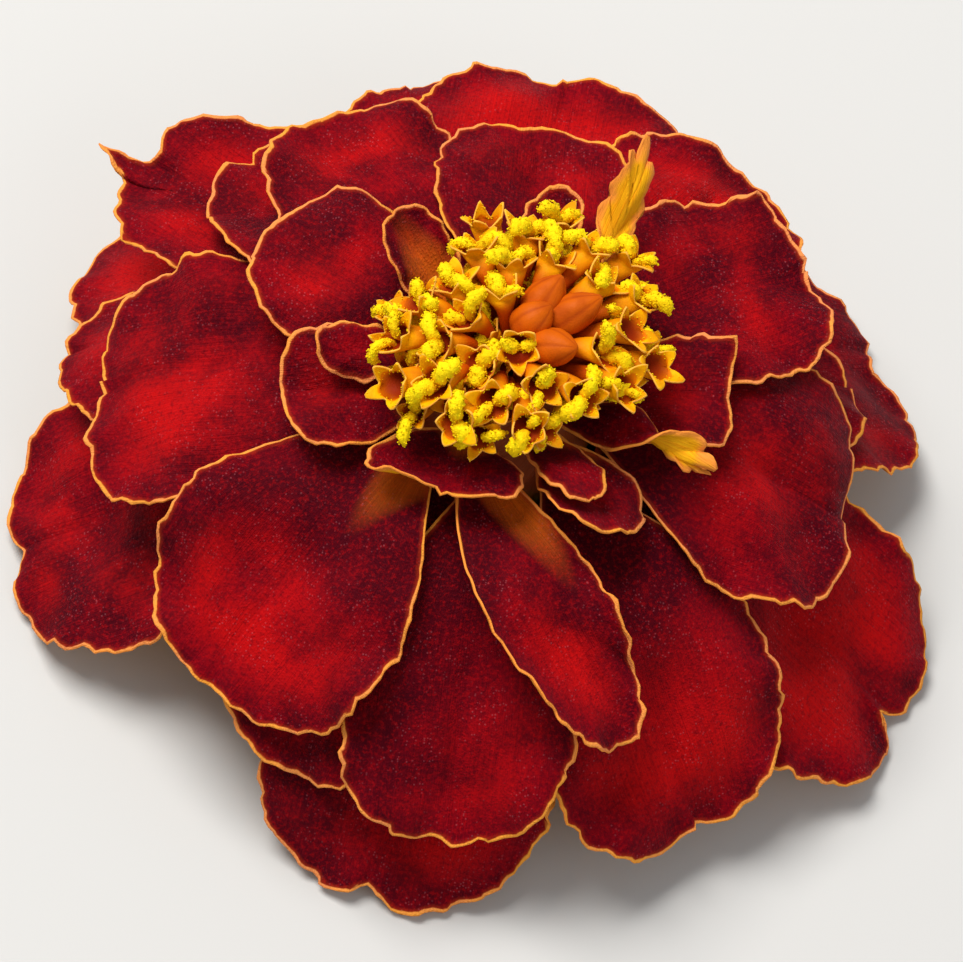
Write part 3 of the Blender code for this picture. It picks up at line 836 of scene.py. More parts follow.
@dataclass
class RayShape:
    """Middle surface of one ray, as fine as asked for."""

    ray: Ray
    side_steps: int = 160
    end_steps: int = 420
    curl_steps: int = 14

    def outline(self, length: float, count: int) -> list[np.ndarray]:
        """Flat edge of the ray.

        Args:
            length: length of the midrib.
            count: steps along each side.

        Returns:
            For each side, points of along, across and distance left to the tip.
        """
        ray = self.ray
        rnd = random.Random(ray.seed)
        phase = [rnd.uniform(0, math.tau) for _ in range(6)]
        sides = []
        for side in (1.0, -1.0):
            half = ray.half * (1.0 + side * ray.lean)
            belly = ray.belly * length
            t = np.linspace(0.0, 1.0, self.side_steps)
            low_u = belly * t
            low_v = CLAW + (half - CLAW) * np.sin(0.5 * math.pi * t) ** 1.15
            phi = np.radians(np.linspace(90.0, 0.0, self.end_steps))
            n = ray.square
            size = (np.abs(np.cos(phi)) ** n + np.abs(np.sin(phi)) ** n) ** (-1.0 / n)
            angle = np.degrees(phi) * side
            fade = np.clip((90.0 - np.abs(angle)) / 25.0, 0.0, 1.0)
            for centre, depth, spread in ray.notches:
                dent = np.exp(-np.abs((angle - centre) / spread) ** 1.4)
                size = size * (1.0 - depth * fade * dent)
            a = np.radians(angle)
            ripple = 0.012 * np.sin(5 * a + phase[0]) + 0.010 * np.sin(11 * a + phase[1])
            ripple = ripple + 0.008 * np.sin(23 * a + phase[4]) + 0.006 * np.sin(37 * a + phase[5])
            size = size * (1.0 + ripple * fade)
            u = np.concatenate([low_u[:-1], belly + (length - belly) * size * np.cos(phi)])
            v = np.concatenate([low_v[:-1], half * size * np.sin(phi)])
            arc = run_length(np.hypot(np.diff(u), np.diff(v)))
            grow = np.clip(arc / arc[-1] * 3.0 - 0.6, 0.0, 1.0) * np.clip(
                (arc[-1] - arc) / 3.0, 0.0, 1.0)
            v = v + grow * (0.10 * np.sin(arc * 3.1 + phase[2] * side)
                            + 0.07 * np.sin(arc * 5.3 + phase[3] * side))
            pick = np.linspace(0.0, arc[-1], count + 1)
            sides.append(np.stack([np.interp(pick, arc, u), side * np.interp(pick, arc, v),
                                   side * (arc[-1] - pick)], axis=-1))
        return sides

    def midline(self, samples: int = 160) -> tuple[np.ndarray, np.ndarray, np.ndarray]:
        """Midrib in space.

        Args:
            samples: points along it.

        Returns:
            Points, directions and run of length.
        """
        ray = self.ray
        r0, z0 = RINGS[ray.ring]
        a0, a1 = math.radians(ray.root), math.radians(ray.tip[0])
        p0 = np.array([r0 * math.cos(a0), r0 * math.sin(a0), z0])
        p3 = np.array([ray.tip[1] * math.cos(a1), ray.tip[1] * math.sin(a1), ray.tip[2]])
        reach = np.linalg.norm(p3 - p0)
        up, down = math.radians(ray.rise), math.radians(ray.fall)
        flat = p3[:2] - p0[:2]
        ahead = flat / np.linalg.norm(flat)
        d0 = np.array([math.cos(a0) * math.cos(up), math.sin(a0) * math.cos(up), math.sin(up)])
        d1 = np.array([ahead[0] * math.cos(down), ahead[1] * math.cos(down), math.sin(down)])
        p1, p2 = p0 + d0 * 0.24 * reach, p3 - d1 * 0.36 * reach
        t = np.linspace(0.0, 1.0, samples)[:, None]
        points = ((1 - t) ** 3 * p0 + 3 * (1 - t) ** 2 * t * p1
                  + 3 * (1 - t) * t ** 2 * p2 + t ** 3 * p3)
        run = run_length(np.linalg.norm(np.diff(points, axis=0), axis=1))
        course = np.gradient(points, run, axis=0)
        return points, unit(course), run

    def curl(self, u: np.ndarray, v: np.ndarray, share: np.ndarray,
             length: float) -> tuple[np.ndarray, np.ndarray]:
        """Cross section of the ray.

        Args:
            u: distance along the midrib.
            v: distance across.
            share: distance across as a share of the way to the edge.
            length: length of the midrib.

        Returns:
            Sideways and upward offset from the midrib.
        """
        ray = self.ray
        grow = np.clip(u / length, 0.0, 1.0)[..., None]
        steps = np.linspace(0.0, 1.0, self.curl_steps)
        theta = ray.bend * np.abs(v)[..., None] * steps * (0.4 + 0.6 * grow)
        part = share[..., None] * steps
        theta = theta + math.radians(ray.roll) * np.clip((part - 0.35) / 0.65, 0, 1) ** 1.5
        weight = np.full(self.curl_steps, 1.0 / (self.curl_steps - 1))
        weight[0] = weight[-1] = 0.5 / (self.curl_steps - 1)
        return (v * (np.cos(theta) * weight).sum(axis=-1),
                np.abs(v) * (np.sin(theta) * weight).sum(axis=-1))

    def sheet(self, rows: int, cols: int) -> tuple[np.ndarray, dict[str, np.ndarray]]:
        """Grid of points of the middle surface and the values the finishes use.

        Args:
            rows: steps along the ray.
            cols: steps on each side of the midrib.

        Returns:
            The grid, and along, vein, rim and wedge for each of its points.
        """
        ray = self.ray
        points, course, run = self.midline()
        length = run[-1]
        left, right = self.outline(length, rows)
        rnd = random.Random(ray.seed * 7 + 3)
        phase = [rnd.uniform(0, math.tau) for _ in range(8)]
        half_share = 1.0 - (1.0 - np.linspace(0.0, 1.0, cols + 1)) ** 1.4
        share = np.concatenate([-half_share[:0:-1], half_share])
        size = np.abs(share)[None, :]
        edge = np.where(share[None, :, None] < 0, right[:, None, :], left[:, None, :])
        u = np.linspace(0.0, 0.80 * length, rows + 1)[:, None] * (1 - size) + edge[..., 0] * size
        v = edge[..., 1] * size
        arc = edge[..., 2]
        border = np.concatenate([left[:, :2], right[::-1, :2]])
        away = border[None, None] - np.stack([u, v], -1)[:, :, None]
        rim = np.sqrt((away ** 2).sum(-1)).min(axis=2)
        across = np.broadcast_to(size, u.shape)
        side, lift = self.curl(u, v, across, length)
        grow = np.clip(u / length, 0.0, 1.2)
        ease = np.clip((grow - 0.15) / 0.45, 0, 1) ** 1.5
        lift = lift + ray.wave * across ** 2 * ease * (
            np.sin(u * 0.55 + np.sign(v) * phase[0] + phase[1])
            + 0.6 * np.sin(u * 1.1 + v * 0.5 + phase[2]))
        for place, depth, spread in ray.folds:
            lift = lift - depth * ease * np.exp(-((v / ray.half - place) / spread) ** 2)
        lift = lift + self.detail(u, v, arc, rim, ease, length, phase)
        base = np.stack([np.interp(u, run, points[:, k]) for k in range(3)], -1)
        over = np.clip(u - length, 0.0, None)[..., None]
        t = unit(np.stack([np.interp(u, run, course[:, k]) for k in range(3)], -1))
        b = unit(np.cross(UP, t))
        n = np.cross(t, b)
        turn = np.radians(ray.twist) * np.clip((grow - ray.start) / 0.45, 0, 1)[..., None]
        b, n = b * np.cos(turn) + n * np.sin(turn), n * np.cos(turn) - b * np.sin(turn)
        grid = base + t * over + b * side[..., None] + n * lift[..., None]
        widen = np.sin(0.5 * math.pi * np.clip(u / (ray.belly * length), 0, 1)) ** 1.15
        vein = v * ray.half / (CLAW + (ray.half - CLAW) * widen)
        strength, middle = GOLDEN_FEET.get(ray.name, PLAIN_FOOT)
        wedge = strength * np.exp(-((v - middle) / FOOT_SPREAD) ** 2)
        dark_and_shaded_foot_reach = u / length / DARK_AND_SHADED_FEET.get(ray.name, 1.0)
        return grid, {"along": u / length, "vein": vein + ray.seed * 31.0, "rim": rim,
                      "wedge": wedge, "dark_and_shaded_foot_reach": dark_and_shaded_foot_reach}

    def detail(self, u: np.ndarray, v: np.ndarray, arc: np.ndarray, rim: np.ndarray,
               ease: np.ndarray, length: float, phase: list[float]) -> np.ndarray:
        """Fine relief of the blade: midrib groove, veins, puffed halves and frilled rim.

        Args:
            u: distance along the midrib.
            v: distance across.
            arc: distance left to the tip along the edge, signed by side.
            rim: distance to the edge.
            ease: 0 at the foot, 1 over the blade.
            length: length of the midrib.
            phase: seeded phases.

        Returns:
            Height to add.
        """
        ray = self.ray
        reach = np.clip(u / length, 0.0, 1.0)
        open_part = np.sin(math.pi * np.clip(reach, 0.0, 1.0)) ** 0.7
        puff = min(0.05 * ray.half, 0.4)
        shape = puff * open_part * (np.cos(v / ray.half * math.tau) * -0.5 + 0.1)
        groove = -0.16 * open_part * np.exp(-(v / 0.55) ** 2)
        veins = 0.020 * open_part * np.sin(v * 5.2 + 0.6 * np.sin(u * 0.7 + phase[3]))
        swell = 0.32 * ease * np.sin(u * 0.8 + phase[4]) * np.sin(v * 0.7 + phase[5])
        frill = ray.frill * ease * np.exp(-rim / 1.1) * (
            np.sin(arc * 1.25 + phase[6]) + 0.6 * np.sin(arc * 2.3 + phase[7])
            + 0.35 * np.sin(arc * 4.1 + phase[0]))
        bead = 0.07 * np.exp(-(rim / 0.22) ** 2)
        return shape + groove + veins + swell + frill + bead


class Heap:
    """Height of everything laid so far, on a fine square grid."""

    CELL = 0.25
    HALF = 36.0
    FINE = 5

    def __init__(self) -> None:
        """Start with nothing laid."""
        n = int(2 * self.HALF / self.CELL)
        self.top = np.full((n, n), -99.0)

    def cells(self, p: np.ndarray) -> tuple[np.ndarray, np.ndarray]:
        """Grid cells under points.

        Args:
            p: points.

        Returns:
            Indices along x and y.
        """
        n = self.top.shape[0]
        i = np.clip(((p[..., 0] + self.HALF) / self.CELL).astype(int), 0, n - 1)
        j = np.clip(((p[..., 1] + self.HALF) / self.CELL).astype(int), 0, n - 1)
        return i, j

    def fill(self, grid: np.ndarray) -> np.ndarray:
        """Points spread over every cell of a grid.

        Args:
            grid: sheet of points.

        Returns:
            Rows x columns x points x 3.
        """
        s, t = np.meshgrid(np.linspace(0, 1, self.FINE), np.linspace(0, 1, self.FINE))
        s, t = s.ravel()[:, None], t.ravel()[:, None]
        a, b = grid[:-1, :-1, None], grid[1:, :-1, None]
        c, d = grid[:-1, 1:, None], grid[1:, 1:, None]
        return a * (1 - s) * (1 - t) + b * s * (1 - t) + c * (1 - s) * t + d * s * t

    def add(self, grid: np.ndarray) -> None:
        """Lay a finished sheet on the heap.

        Args:
            grid: sheet of points.
        """
        p = self.fill(grid)
        for di in (-1, 0, 1):
            for dj in (-1, 0, 1):
                i, j = self.cells(p + np.array([di, dj, 0.0]) * self.CELL)
                np.maximum.at(self.top, (i.ravel(), j.ravel()), p[..., 2].ravel())

    def lift(self, grid: np.ndarray) -> np.ndarray:
        """How far each point of a sheet must rise to clear the heap.

        Args:
            grid: sheet of points.

        Returns:
            The rise each point needs.
        """
        normal = np.cross(grid[1:, 1:] - grid[:-1, :-1], grid[:-1, 1:] - grid[1:, :-1])
        level = np.abs(normal[..., 2]) / (np.linalg.norm(normal, axis=-1) + 1e-9)
        p = self.fill(grid)
        i, j = self.cells(p)
        need = (self.top[i, j] - p[..., 2]).max(axis=2)
        need = need + (RAY_THICK + RAY_GAP) / np.clip(level, 0.7, 1.0)
        out = np.zeros(grid.shape[:2])
        for rows in (slice(None, -1), slice(1, None)):
            for cols in (slice(None, -1), slice(1, None)):
                out[rows, cols] = np.maximum(out[rows, cols], need)
        out[0] = 0.0
        return out


def beside(values: np.ndarray) -> np.ndarray:
    """Sum of each point's four neighbours; the halves of a ray meet in its tip row.

    Args:
        values: grid of values.

    Returns:
        The sums.
    """
    pad = np.pad(values, 1, mode="edge")
    pad[-1] = pad[-3, ::-1]
    return pad[:-2, 1:-1] + pad[2:, 1:-1] + pad[1:-1, :-2] + pad[1:-1, 2:]


def ease_up(need: np.ndarray) -> np.ndarray:
    """Smooth rise, never under the needed one, that sags away from what holds it up.

    Args:
        need: least rise of each point.

    Returns:
        The rise.
    """
    rows = need.shape[0] - 1
    rise = need.copy()
    for _ in range(5 * rows):
        rise = np.maximum(need, 0.25 * beside(rise) * (1.0 - 4.0 / rows ** 2))
        rise[-1] = np.maximum(rise[-1], rise[-1, ::-1])
        rise[0] = 0.0
    for _ in range(2):
        rise = 0.5 * rise + 0.125 * beside(rise)
        rise[0] = 0.0
    return rise


def spread(values: np.ndarray, shape: tuple[int, int]) -> np.ndarray:
    """Bring a coarse grid of values to a fine one.

    Args:
        values: coarse grid.
        shape: rows and columns wanted.

    Returns:
        The fine grid.
    """
    rows = np.linspace(0, values.shape[0] - 1, shape[0])
    cols = np.linspace(0, values.shape[1] - 1, shape[1])
    mid = np.stack([np.interp(rows, np.arange(values.shape[0]), values[:, j])
                    for j in range(values.shape[1])], axis=1)
    out = np.stack([np.interp(cols, np.arange(values.shape[1]), mid[i])
                    for i in range(shape[0])])
    for _ in range(3):
        out[1:] = (0.4 * out + 0.15 * beside(out))[1:]
    return out


@dataclass
class RayPetal:
    """One ray: laid on the heap, thickened and dressed."""

    ray: Ray
    coarse: int = 3

    def build(self, heap: Heap) -> Solid:
        """Shape the blade and lay it.

        Args:
            heap: what is already laid; the blade is added to it.

        Returns:
            The closed blade.
        """
        reach = self.ray.tip[1] - RINGS[self.ray.ring][0]
        cols = self.coarse * max(3, min(6, round(self.ray.half * 0.9)))
        rows = self.coarse * max(11, min(28, round(reach * 1.35)))
        grid, values = RayShape(self.ray).sheet(rows, cols)
        rough = grid[::self.coarse, ::self.coarse]
        rise = ease_up(heap.lift(rough))
        heap.add(rough + rise[..., None] * UP)
        grid[..., 2] += spread(rise, grid.shape[:2])
        return self.thicken(grid, values)

    @staticmethod
    def thicken(grid: np.ndarray, values: dict[str, np.ndarray]) -> Solid:
        """Closed blade from the middle surface; its halves share the line at the tip.

        Args:
            grid: sheet of points.
            values: values of each point.

        Returns:
            The blade, with its upper face and its under face in their own slots.
        """
        rows, wide = grid.shape[:2]
        index = np.arange(rows * wide).reshape(rows, wide)
        index[-1, wide // 2 + 1:] = index[-1, :wide // 2][::-1]
        cells = np.stack([index[:-1, :-1], index[1:, :-1], index[1:, 1:], index[:-1, 1:]],
                         axis=-1).reshape(-1, 4)
        keep = np.unique(cells)
        renumber = np.full(rows * wide, -1)
        renumber[keep] = np.arange(len(keep))
        cells, index = renumber[cells], renumber[index]
        points = grid.reshape(-1, 3)[keep]
        normal = np.zeros_like(points)
        a, b, c, d = (points[cells[:, k]] for k in range(4))
        face = np.cross(c - a, b - d)
        for k in range(4):
            np.add.at(normal, cells[:, k], face)
        normal = unit(normal, 1e-12)
        count = len(points)
        edge = values["rim"].reshape(-1)[keep]
        thick = (BLADE * (0.55 + 0.45 * np.clip(edge / 0.5, 0, 1)))[:, None]
        verts = np.concatenate([points + normal * thick / 2, points - normal * thick / 2])
        rim = np.concatenate([index[:, 0], index[-2::-1, -1], index[0, wide - 2:0:-1]])
        faces = [tuple(cell[::-1]) for cell in cells.tolist()]
        faces += [tuple(cell) for cell in (cells + count).tolist()]
        loop = rim.tolist()
        faces += [(p, q, q + count, p + count) for p, q in zip(loop, loop[1:] + loop[:1])]
        slots = [Side.UNDER.value] * len(cells) + [Side.UPPER.value] * len(cells)
        slots += [Side.UNDER.value] * len(loop)
        return Solid(verts, faces, slots,
                     {k: np.tile(v.reshape(-1)[keep], 2) for k, v in values.items()})


# ------------------------------------------------------------------ round parts
def skin(rings: Sequence[np.ndarray], values: Sequence[dict[str, np.ndarray]],
         closed: bool = False) -> Solid:
    """Closed body through rings of points, capped at both ends unless the rings close up.

    Args:
        rings: rings with the same number of points, outside seen anticlockwise upwards.
        values: values for each ring.
        closed: join the last ring to the first.

    Returns:
        The body.
    """
    n, count = len(rings[0]), len(rings)
    points = [np.asarray(r) for r in rings]
    held = {k: [v[k] for v in values] for k in values[0]}
    faces: list[tuple[int, ...]] = []
    for p in range(count if closed else count - 1):
        q = (p + 1) % count
        faces += [(p * n + k, p * n + (k + 1) % n, q * n + (k + 1) % n, q * n + k)
                  for k in range(n)]
    if not closed:
        for ring, turn in ((0, True), (count - 1, False)):
            middle = n * count + (0 if ring == 0 else 1)
            points.append(points[ring].mean(axis=0, keepdims=True))
            for k, v in held.items():
                v.append(np.mean(v[ring], keepdims=True))
            for k in range(n):
                a, b = ring * n + k, ring * n + (k + 1) % n
                faces.append((middle, b, a) if turn else (middle, a, b))
    return Solid(np.concatenate(points), faces, [0] * len(faces),
                 {k: np.concatenate(v) for k, v in held.items()})


def smooth_profile(profile: Sequence[tuple[float, float]], steps: int) -> np.ndarray:
    """Even points along a profile with its corners rounded.

    Args:
        profile: radius and height pairs.
        steps: points wanted.

    Returns:
        The points.
    """
    p = np.array(profile, dtype=float)
    run = run_length(np.hypot(*np.diff(p, axis=0).T))
    pick = np.linspace(0.0, run[-1], steps)
    fine = np.stack([np.interp(pick, run, p[:, k]) for k in range(2)], axis=1)
    for _ in range(2):
        fine[1:-1] = 0.25 * fine[:-2] + 0.5 * fine[1:-1] + 0.25 * fine[2:]
    return fine


@dataclass
class StemPart:
    """Cut stub, swollen neck and the dome the florets grow from."""

    radius: float = 1.7
    neck: float = 2.3
    top: float = 16.5
    ridges: int = 11
    rings: int = 90
    around: int = 132

    def build(self) -> Solid:
        """Shape the stem.

        Returns:
            The closed stem.
        """
        r = self.radius
        profile = [(r * 0.45, 0.06), (r * 0.86, 0.0), (r * 0.97, 0.10), (r, 0.4), (r, 1.8),
                   (self.neck, 3.4), (2.5, 4.4), (3.4, 6.2), (4.4, 8.6), (5.1, 11.8), (5.2, 13.2),
                   (4.8, 13.9), (4.2, 14.6), (3.5, 15.4), (2.7, 16.2), (0.1, self.top)]
        angle = turns(self.around)
        rings, values = [], []
        for rr, z in smooth_profile(profile, self.rings):
            low = np.clip((5.0 - z) / 2.0, 0, 1) * np.clip((rr - 1.0) / 0.5, 0, 1)
            ridge = 0.06 * np.cos(self.ridges * angle + 0.15 * z) + 0.025 * np.sin(
                29 * angle - 0.4 * z)
            rings.append(level_ring(rr + ridge * low, angle, z))
            cut = 1.0 if z < 0.12 else 0.0
            values.append({"along": np.full(self.around, z / self.top),
                           "vein": 0.05 * np.abs(angle - math.pi) * rr,
                           "rim": np.full(self.around, cut)})
        return skin(rings, values)


@dataclass
class CupPart:
    """Fused green bracts: ribs outside and short teeth round the rim."""

    bottom: float = 3.6
    rim: float = 12.5
    radius: float = 6.4
    wall: float = 0.7
    tooth: float = 0.6
    teeth: float = 10.8
    ribs: int = 8
    outer_rings: int = 44
    inner_rings: int = 26
    around: int = 240

    def build(self) -> Solid:
        """Shape the cup.

        Returns:
            The closed cup.
        """
        w = self.wall
        outer = [(2.75, self.bottom), (3.5, 4.1), (4.6, 5.8), (5.6, 8.4), (6.2, self.teeth),
                 (self.radius, self.rim)]
        inner = [(self.radius - w * 0.8, self.rim), (6.2 - w, self.teeth), (5.6 - w, 8.6),
                 (4.6 - w, 6.4), (3.3, 4.9)]
        profile = np.concatenate([smooth_profile(outer, self.outer_rings),
                                  smooth_profile(inner, self.inner_rings)])
        angle = turns(self.around)
        rib = np.cos(self.ribs * angle)
        keel = np.maximum(0.0, rib) ** 3
        rings, values = [], []
        for number, (r, z) in enumerate(profile):
            low = min(1.0, max(0.0, (z - self.bottom) / 2.5))
            top = min(1.0, max(0.0, (z - self.teeth) / (self.rim - self.teeth)))
            outside = 1.0 if number < self.outer_rings else 0.0
            fine = 0.03 * np.sin(5 * self.ribs * angle + 0.5 * z) * outside
            rr = r + 0.16 * np.maximum(0.0, rib) * low + (0.12 * keel + fine) * low * outside
            zz = z + self.tooth * top * np.maximum(0.0, rib) ** 1.5
            rings.append(level_ring(rr, angle, zz))
            values.append({"along": np.full(self.around, (z - self.bottom) / self.rim),
                           "vein": 0.12 * np.abs(angle - math.pi) * r / 3.0,
                           "rim": 0.55 * np.maximum(0.0, rib - 0.86) / 0.14 * outside})
        return skin(rings, values, closed=True)


# ------------------------------------------------------------------ disc
# mouths of the florets, in millimetres, and where they leave room for rays and buds
DISC_RADIUS = 8.2
DISC_BASE = (2.45, 16.85)
DISC_TOP = 22.6
DISC_EDGE = 21.0
DISC_SHIFT = (0.2, 0.8)
FLORETS = 38
BUD_CENTRE = (2.1, 1.4)
BUD_SPREAD = 2.7
GAPS = ((-7.0, 5.2, 3.0), (1.0, -7.4, 1.9), (5.4, -6.0, 1.8))
CUP_EDGE = (-3.4, 6.2)
CUP_ROOM = 1.0
GOLDEN_ANGLE = math.radians(137.508)
# one floret, and the smaller ones set lower between the others
ASIDE = np.array([0.31, 0.77, 0.11])
FOOT_IN = 0.23
FOOT_UP = 0.3
BOW_IN = 0.31
BOW_UP = 0.5
LOBES = 5
LOBE_THICK = 0.10
STIGMA_CHANCE = 0.93
LOOSE_GRAINS = 46
BRANCH_GRAINS = 120
BRANCH_STEPS = 12
YOUNG_SIZE = 0.8
YOUNG_DROP = 1.3
YOUNG_REACH = 0.93
YOUNG_TURN = 1.1
YOUNG_SEED = 100


@dataclass
class Floret:
    """One floret of the disc, open with five lobes or closed to a blunt cone."""

    x: float
    y: float
    z: float
    seed: int
    size: float = 1.0
    around: int = 50

    def course(self, rnd: random.Random, t: np.ndarray) -> tuple[np.ndarray, ...]:
        """Bent axis of the tube.

        Args:
            rnd: the floret's own random numbers.
            t: places along the tube, 0 foot to 1 mouth.

        Returns:
            Centres, directions ahead, sideways and the other way.
        """
        foot = np.array([FOOT_IN * self.x, FOOT_IN * self.y, DISC_BASE[1] + FOOT_UP])
        head = np.array([self.x, self.y, self.z + rnd.uniform(-0.2, 0.2)])
        bow = np.array([BOW_IN * self.x, BOW_IN * self.y, head[2] + BOW_UP])
        t = t[:, None]
        centre = (1 - t) ** 2 * foot + 2 * t * (1 - t) * bow + t * t * head
        ahead = 2 * (1 - t) * (bow - foot) + 2 * t * (head - bow)
        ahead = unit(unit(ahead) + 1.5 * UP * t)
        side = unit(np.cross(ahead, ASIDE))
        return centre, ahead, side, np.cross(ahead, side)

    def closed_bud(self) -> Solid:
        """Blunt five-ribbed cone.

        Returns:
            The closed body.
        """
        rnd = random.Random(self.seed)
        rnd.uniform(0, 1)  # the first draw is passed over
        t = np.array([0.0, 0.2, 0.4, 0.52, 0.62, 0.71, 0.79, 0.86, 0.91, 0.95, 0.98])
        radius = np.array([0.22, 0.32, 0.46, 0.66, 0.88, 1.04, 1.10, 0.98, 0.74, 0.44, 0.16])
        centre, ahead, side, other = self.course(rnd, t)
        angle = turns(self.around)
        turn = rnd.uniform(0, math.tau)
        rib = 0.98 + 0.08 * np.abs(np.cos(2.5 * (angle - turn)))
        rings, values = [], []
        for k in range(len(t)):
            lift = max(0.0, t[k] - 0.79) * 6.5
            rings.append(centre[k] + ahead[k] * lift
                         + (radius[k] * rib)[:, None] * circle(angle, side[k], other[k]))
            groove = 1.0 - np.abs(np.cos(2.5 * (angle - turn)))
            values.append({"along": np.full(self.around, t[k]), "vein": groove})
        return skin(rings, values)

    def open_trumpet(self) -> tuple[Solid, list[Solid]]:
        """Tube, five lobes with their points, and the two stigma branches with pollen.

        Returns:
            The trumpet, and the branches and grains in it.
        """
        rnd = random.Random(self.seed)
        rnd.uniform(0, 1)  # the first draw is passed over
        t = np.array([0.0, 0.25, 0.45, 0.6, 0.72, 0.82, 0.9, 0.96, 1.0])
        tube = self.size * np.interp(t, [0, 0.5, 0.72, 0.85, 1.0], [0.22, 0.34, 0.48, 0.66, 0.88])
        centre, ahead, side, other = self.course(rnd, t)
        angle = turns(self.around)
        turn = rnd.uniform(0, math.tau)
        lobe = ((angle - turn) / math.tau * LOBES) % LOBES
        which = np.floor(lobe).astype(int)
        off = np.abs(lobe % 1.0 - 0.5) * 2
        long, first, last = (np.array([rnd.uniform(*limits) for _ in range(LOBES)])[which]
                             for limits in ((0.75, 1.30), (50, 88), (-15, 85)))
        long, first, last = self.size * long, np.radians(first), np.radians(last)
        reach = long * np.clip(1.0 - off, 0.0, 1.0) ** 0.95
        outward = circle(angle, side[-1], other[-1])
        rings = [centre[k] + tube[k] * circle(angle, side[k], other[k]) for k in range(len(t))]
        tone = [np.full(self.around, 0.7 * v) for v in t]
        out, up = np.zeros(self.around), np.zeros(self.around)
        steps = 6
        for s in range(1, steps + 1):
            lean = first + (last - first) * ((s - 0.5) / steps) * (1 - off * 0.6)
            out, up = out + reach / steps * np.cos(lean), up + reach / steps * np.sin(lean)
            cup = 0.10 * (off ** 2) * (s / steps)
            rings.append(rings[len(t) - 1] + outward * out[:, None]
                         + ahead[-1] * (up + cup)[:, None])
            edge = np.ones(self.around) if s == steps else (s / steps) * reach / long
            tone.append(0.7 + 0.3 * edge)
        grid = np.stack(rings)
        normal = unit(np.cross(np.roll(grid, -1, axis=1) - np.roll(grid, 1, axis=1),
                               np.gradient(grid, axis=0)), 1e-9)
        inner = grid - normal * LOBE_THICK
        start = 4
        values = [{"along": v, "vein": np.zeros(self.around)} for v in tone]
        for k in range(len(rings) - 1, start - 1, -1):
            rings.append(inner[k])
            deep = np.clip((len(t) + 1.5 - k) / 5.0, 0, 1)
            values.append({"along": tone[k], "vein": np.full(self.around, deep)})
        parts: list[Solid] = []
        if rnd.random() < STIGMA_CHANCE:
            parts += self.stigma(rnd, centre[-1], ahead[-1], side[-1], other[-1])
        for _ in range(LOOSE_GRAINS):
            k, m = rnd.randrange(len(t) - 1, len(t) + steps), rnd.randrange(self.around)
            size = rnd.uniform(0.028, 0.065)
            parts.append(self.grain(inner[k, m] - normal[k, m] * size * 0.6, size, 0.8))
        return skin(rings, values), parts

    def stigma(self, rnd: random.Random, mouth: np.ndarray, ahead: np.ndarray,
               side: np.ndarray, other: np.ndarray) -> list[Solid]:
        """Two fat furry branches that curl away from each other.

        Args:
            rnd: the floret's own random numbers.
            mouth: centre of the mouth.
            ahead: direction the floret faces.
            side: one direction across it.
            other: the direction across both.

        Returns:
            The branches and their pollen grains.
        """
        parts = []
        turn = rnd.uniform(0, math.pi)
        for half in (0.0, math.pi):
            half += rnd.uniform(-0.7, 0.7)
            length, fat = rnd.uniform(1.4, 2.9), rnd.uniform(0.26, 0.49)
            away = math.cos(turn + half) * side + math.sin(turn + half) * other
            cross = np.cross(ahead, away)
            bend = rnd.uniform(1.6, 4.8)
            place, centres = mouth - ahead * 0.4 + away * rnd.uniform(0.1, 0.4), []
            s = np.linspace(0, 1, BRANCH_STEPS)
            for k in s:
                centres.append(place)
                lean = bend * k ** 1.3
                place = place + (ahead * math.cos(lean) + away * math.sin(lean)) * length / (
                    BRANCH_STEPS - 1)
            centres = np.array(centres)
            course = unit(np.gradient(centres, axis=0))
            angle = turns(BRANCH_STEPS)
            size = fat * np.interp(s, [0, 0.25, 0.6, 0.88, 0.97, 1.0],
                                   [0.5, 0.8, 1.0, 0.9, 0.6, 0.2])
            rings, values = [], []
            for k in range(BRANCH_STEPS):
                b = np.cross(course[k], cross)
                lump = 1 + 0.20 * np.sin(angle * 2 + k * 1.7 + turn) + 0.12 * np.sin(
                    angle * 5 - k * 2.1) + 0.12 * math.sin(k * 2.3 + turn * 5)
                rings.append(centres[k] + (size[k] * lump)[:, None] * circle(angle, cross, b))
                values.append({"along": np.full(len(angle), s[k]), "vein": np.zeros(len(angle))})
            if np.dot(np.cross(cross, np.cross(course[5], cross)), course[5]) < 0:
                rings = [r[::-1] for r in rings]
            parts.append(skin(rings, values))
            for _ in range(BRANCH_GRAINS):
                k = rnd.randrange(3, BRANCH_STEPS)
                a = rnd.uniform(0, math.tau)
                b = np.cross(course[k], cross)
                spot = centres[k] + size[k] * rnd.uniform(1.0, 1.18) * (
                    math.cos(a) * cross + math.sin(a) * b)
                spot = spot + course[k] * rnd.uniform(-0.1, 0.1)
                parts.append(self.grain(spot, rnd.uniform(0.030, 0.080), s[k]))
        return parts

    @staticmethod
    def grain(spot: np.ndarray, size: float, along: float) -> Solid:
        """One grain of pollen.

        Args:
            spot: its centre.
            size: its radius.
            along: place along the branch.

        Returns:
            The grain.
        """
        points = spot + size * np.array([[1, 0, 0], [0, 1, 0], [-1, 0, 0], [0, -1, 0],
                                         [0, 0, 1], [0, 0, -1]], dtype=float)
        faces = [(0, 1, 4), (1, 2, 4), (2, 3, 4), (3, 0, 4), (1, 0, 5), (2, 1, 5), (3, 2, 5),
                 (0, 3, 5)]
        return Solid(points, faces, [0] * 8,
                     {"along": np.full(6, max(along, 0.45)), "vein": np.zeros(6)})


class Crop(Enum):
    """Pieces the disc is made in."""

    FLORETS = "disc_florets_skin"
    POLLEN = "disc_pollen_skin"
    BUDS = "disc_buds_skin"


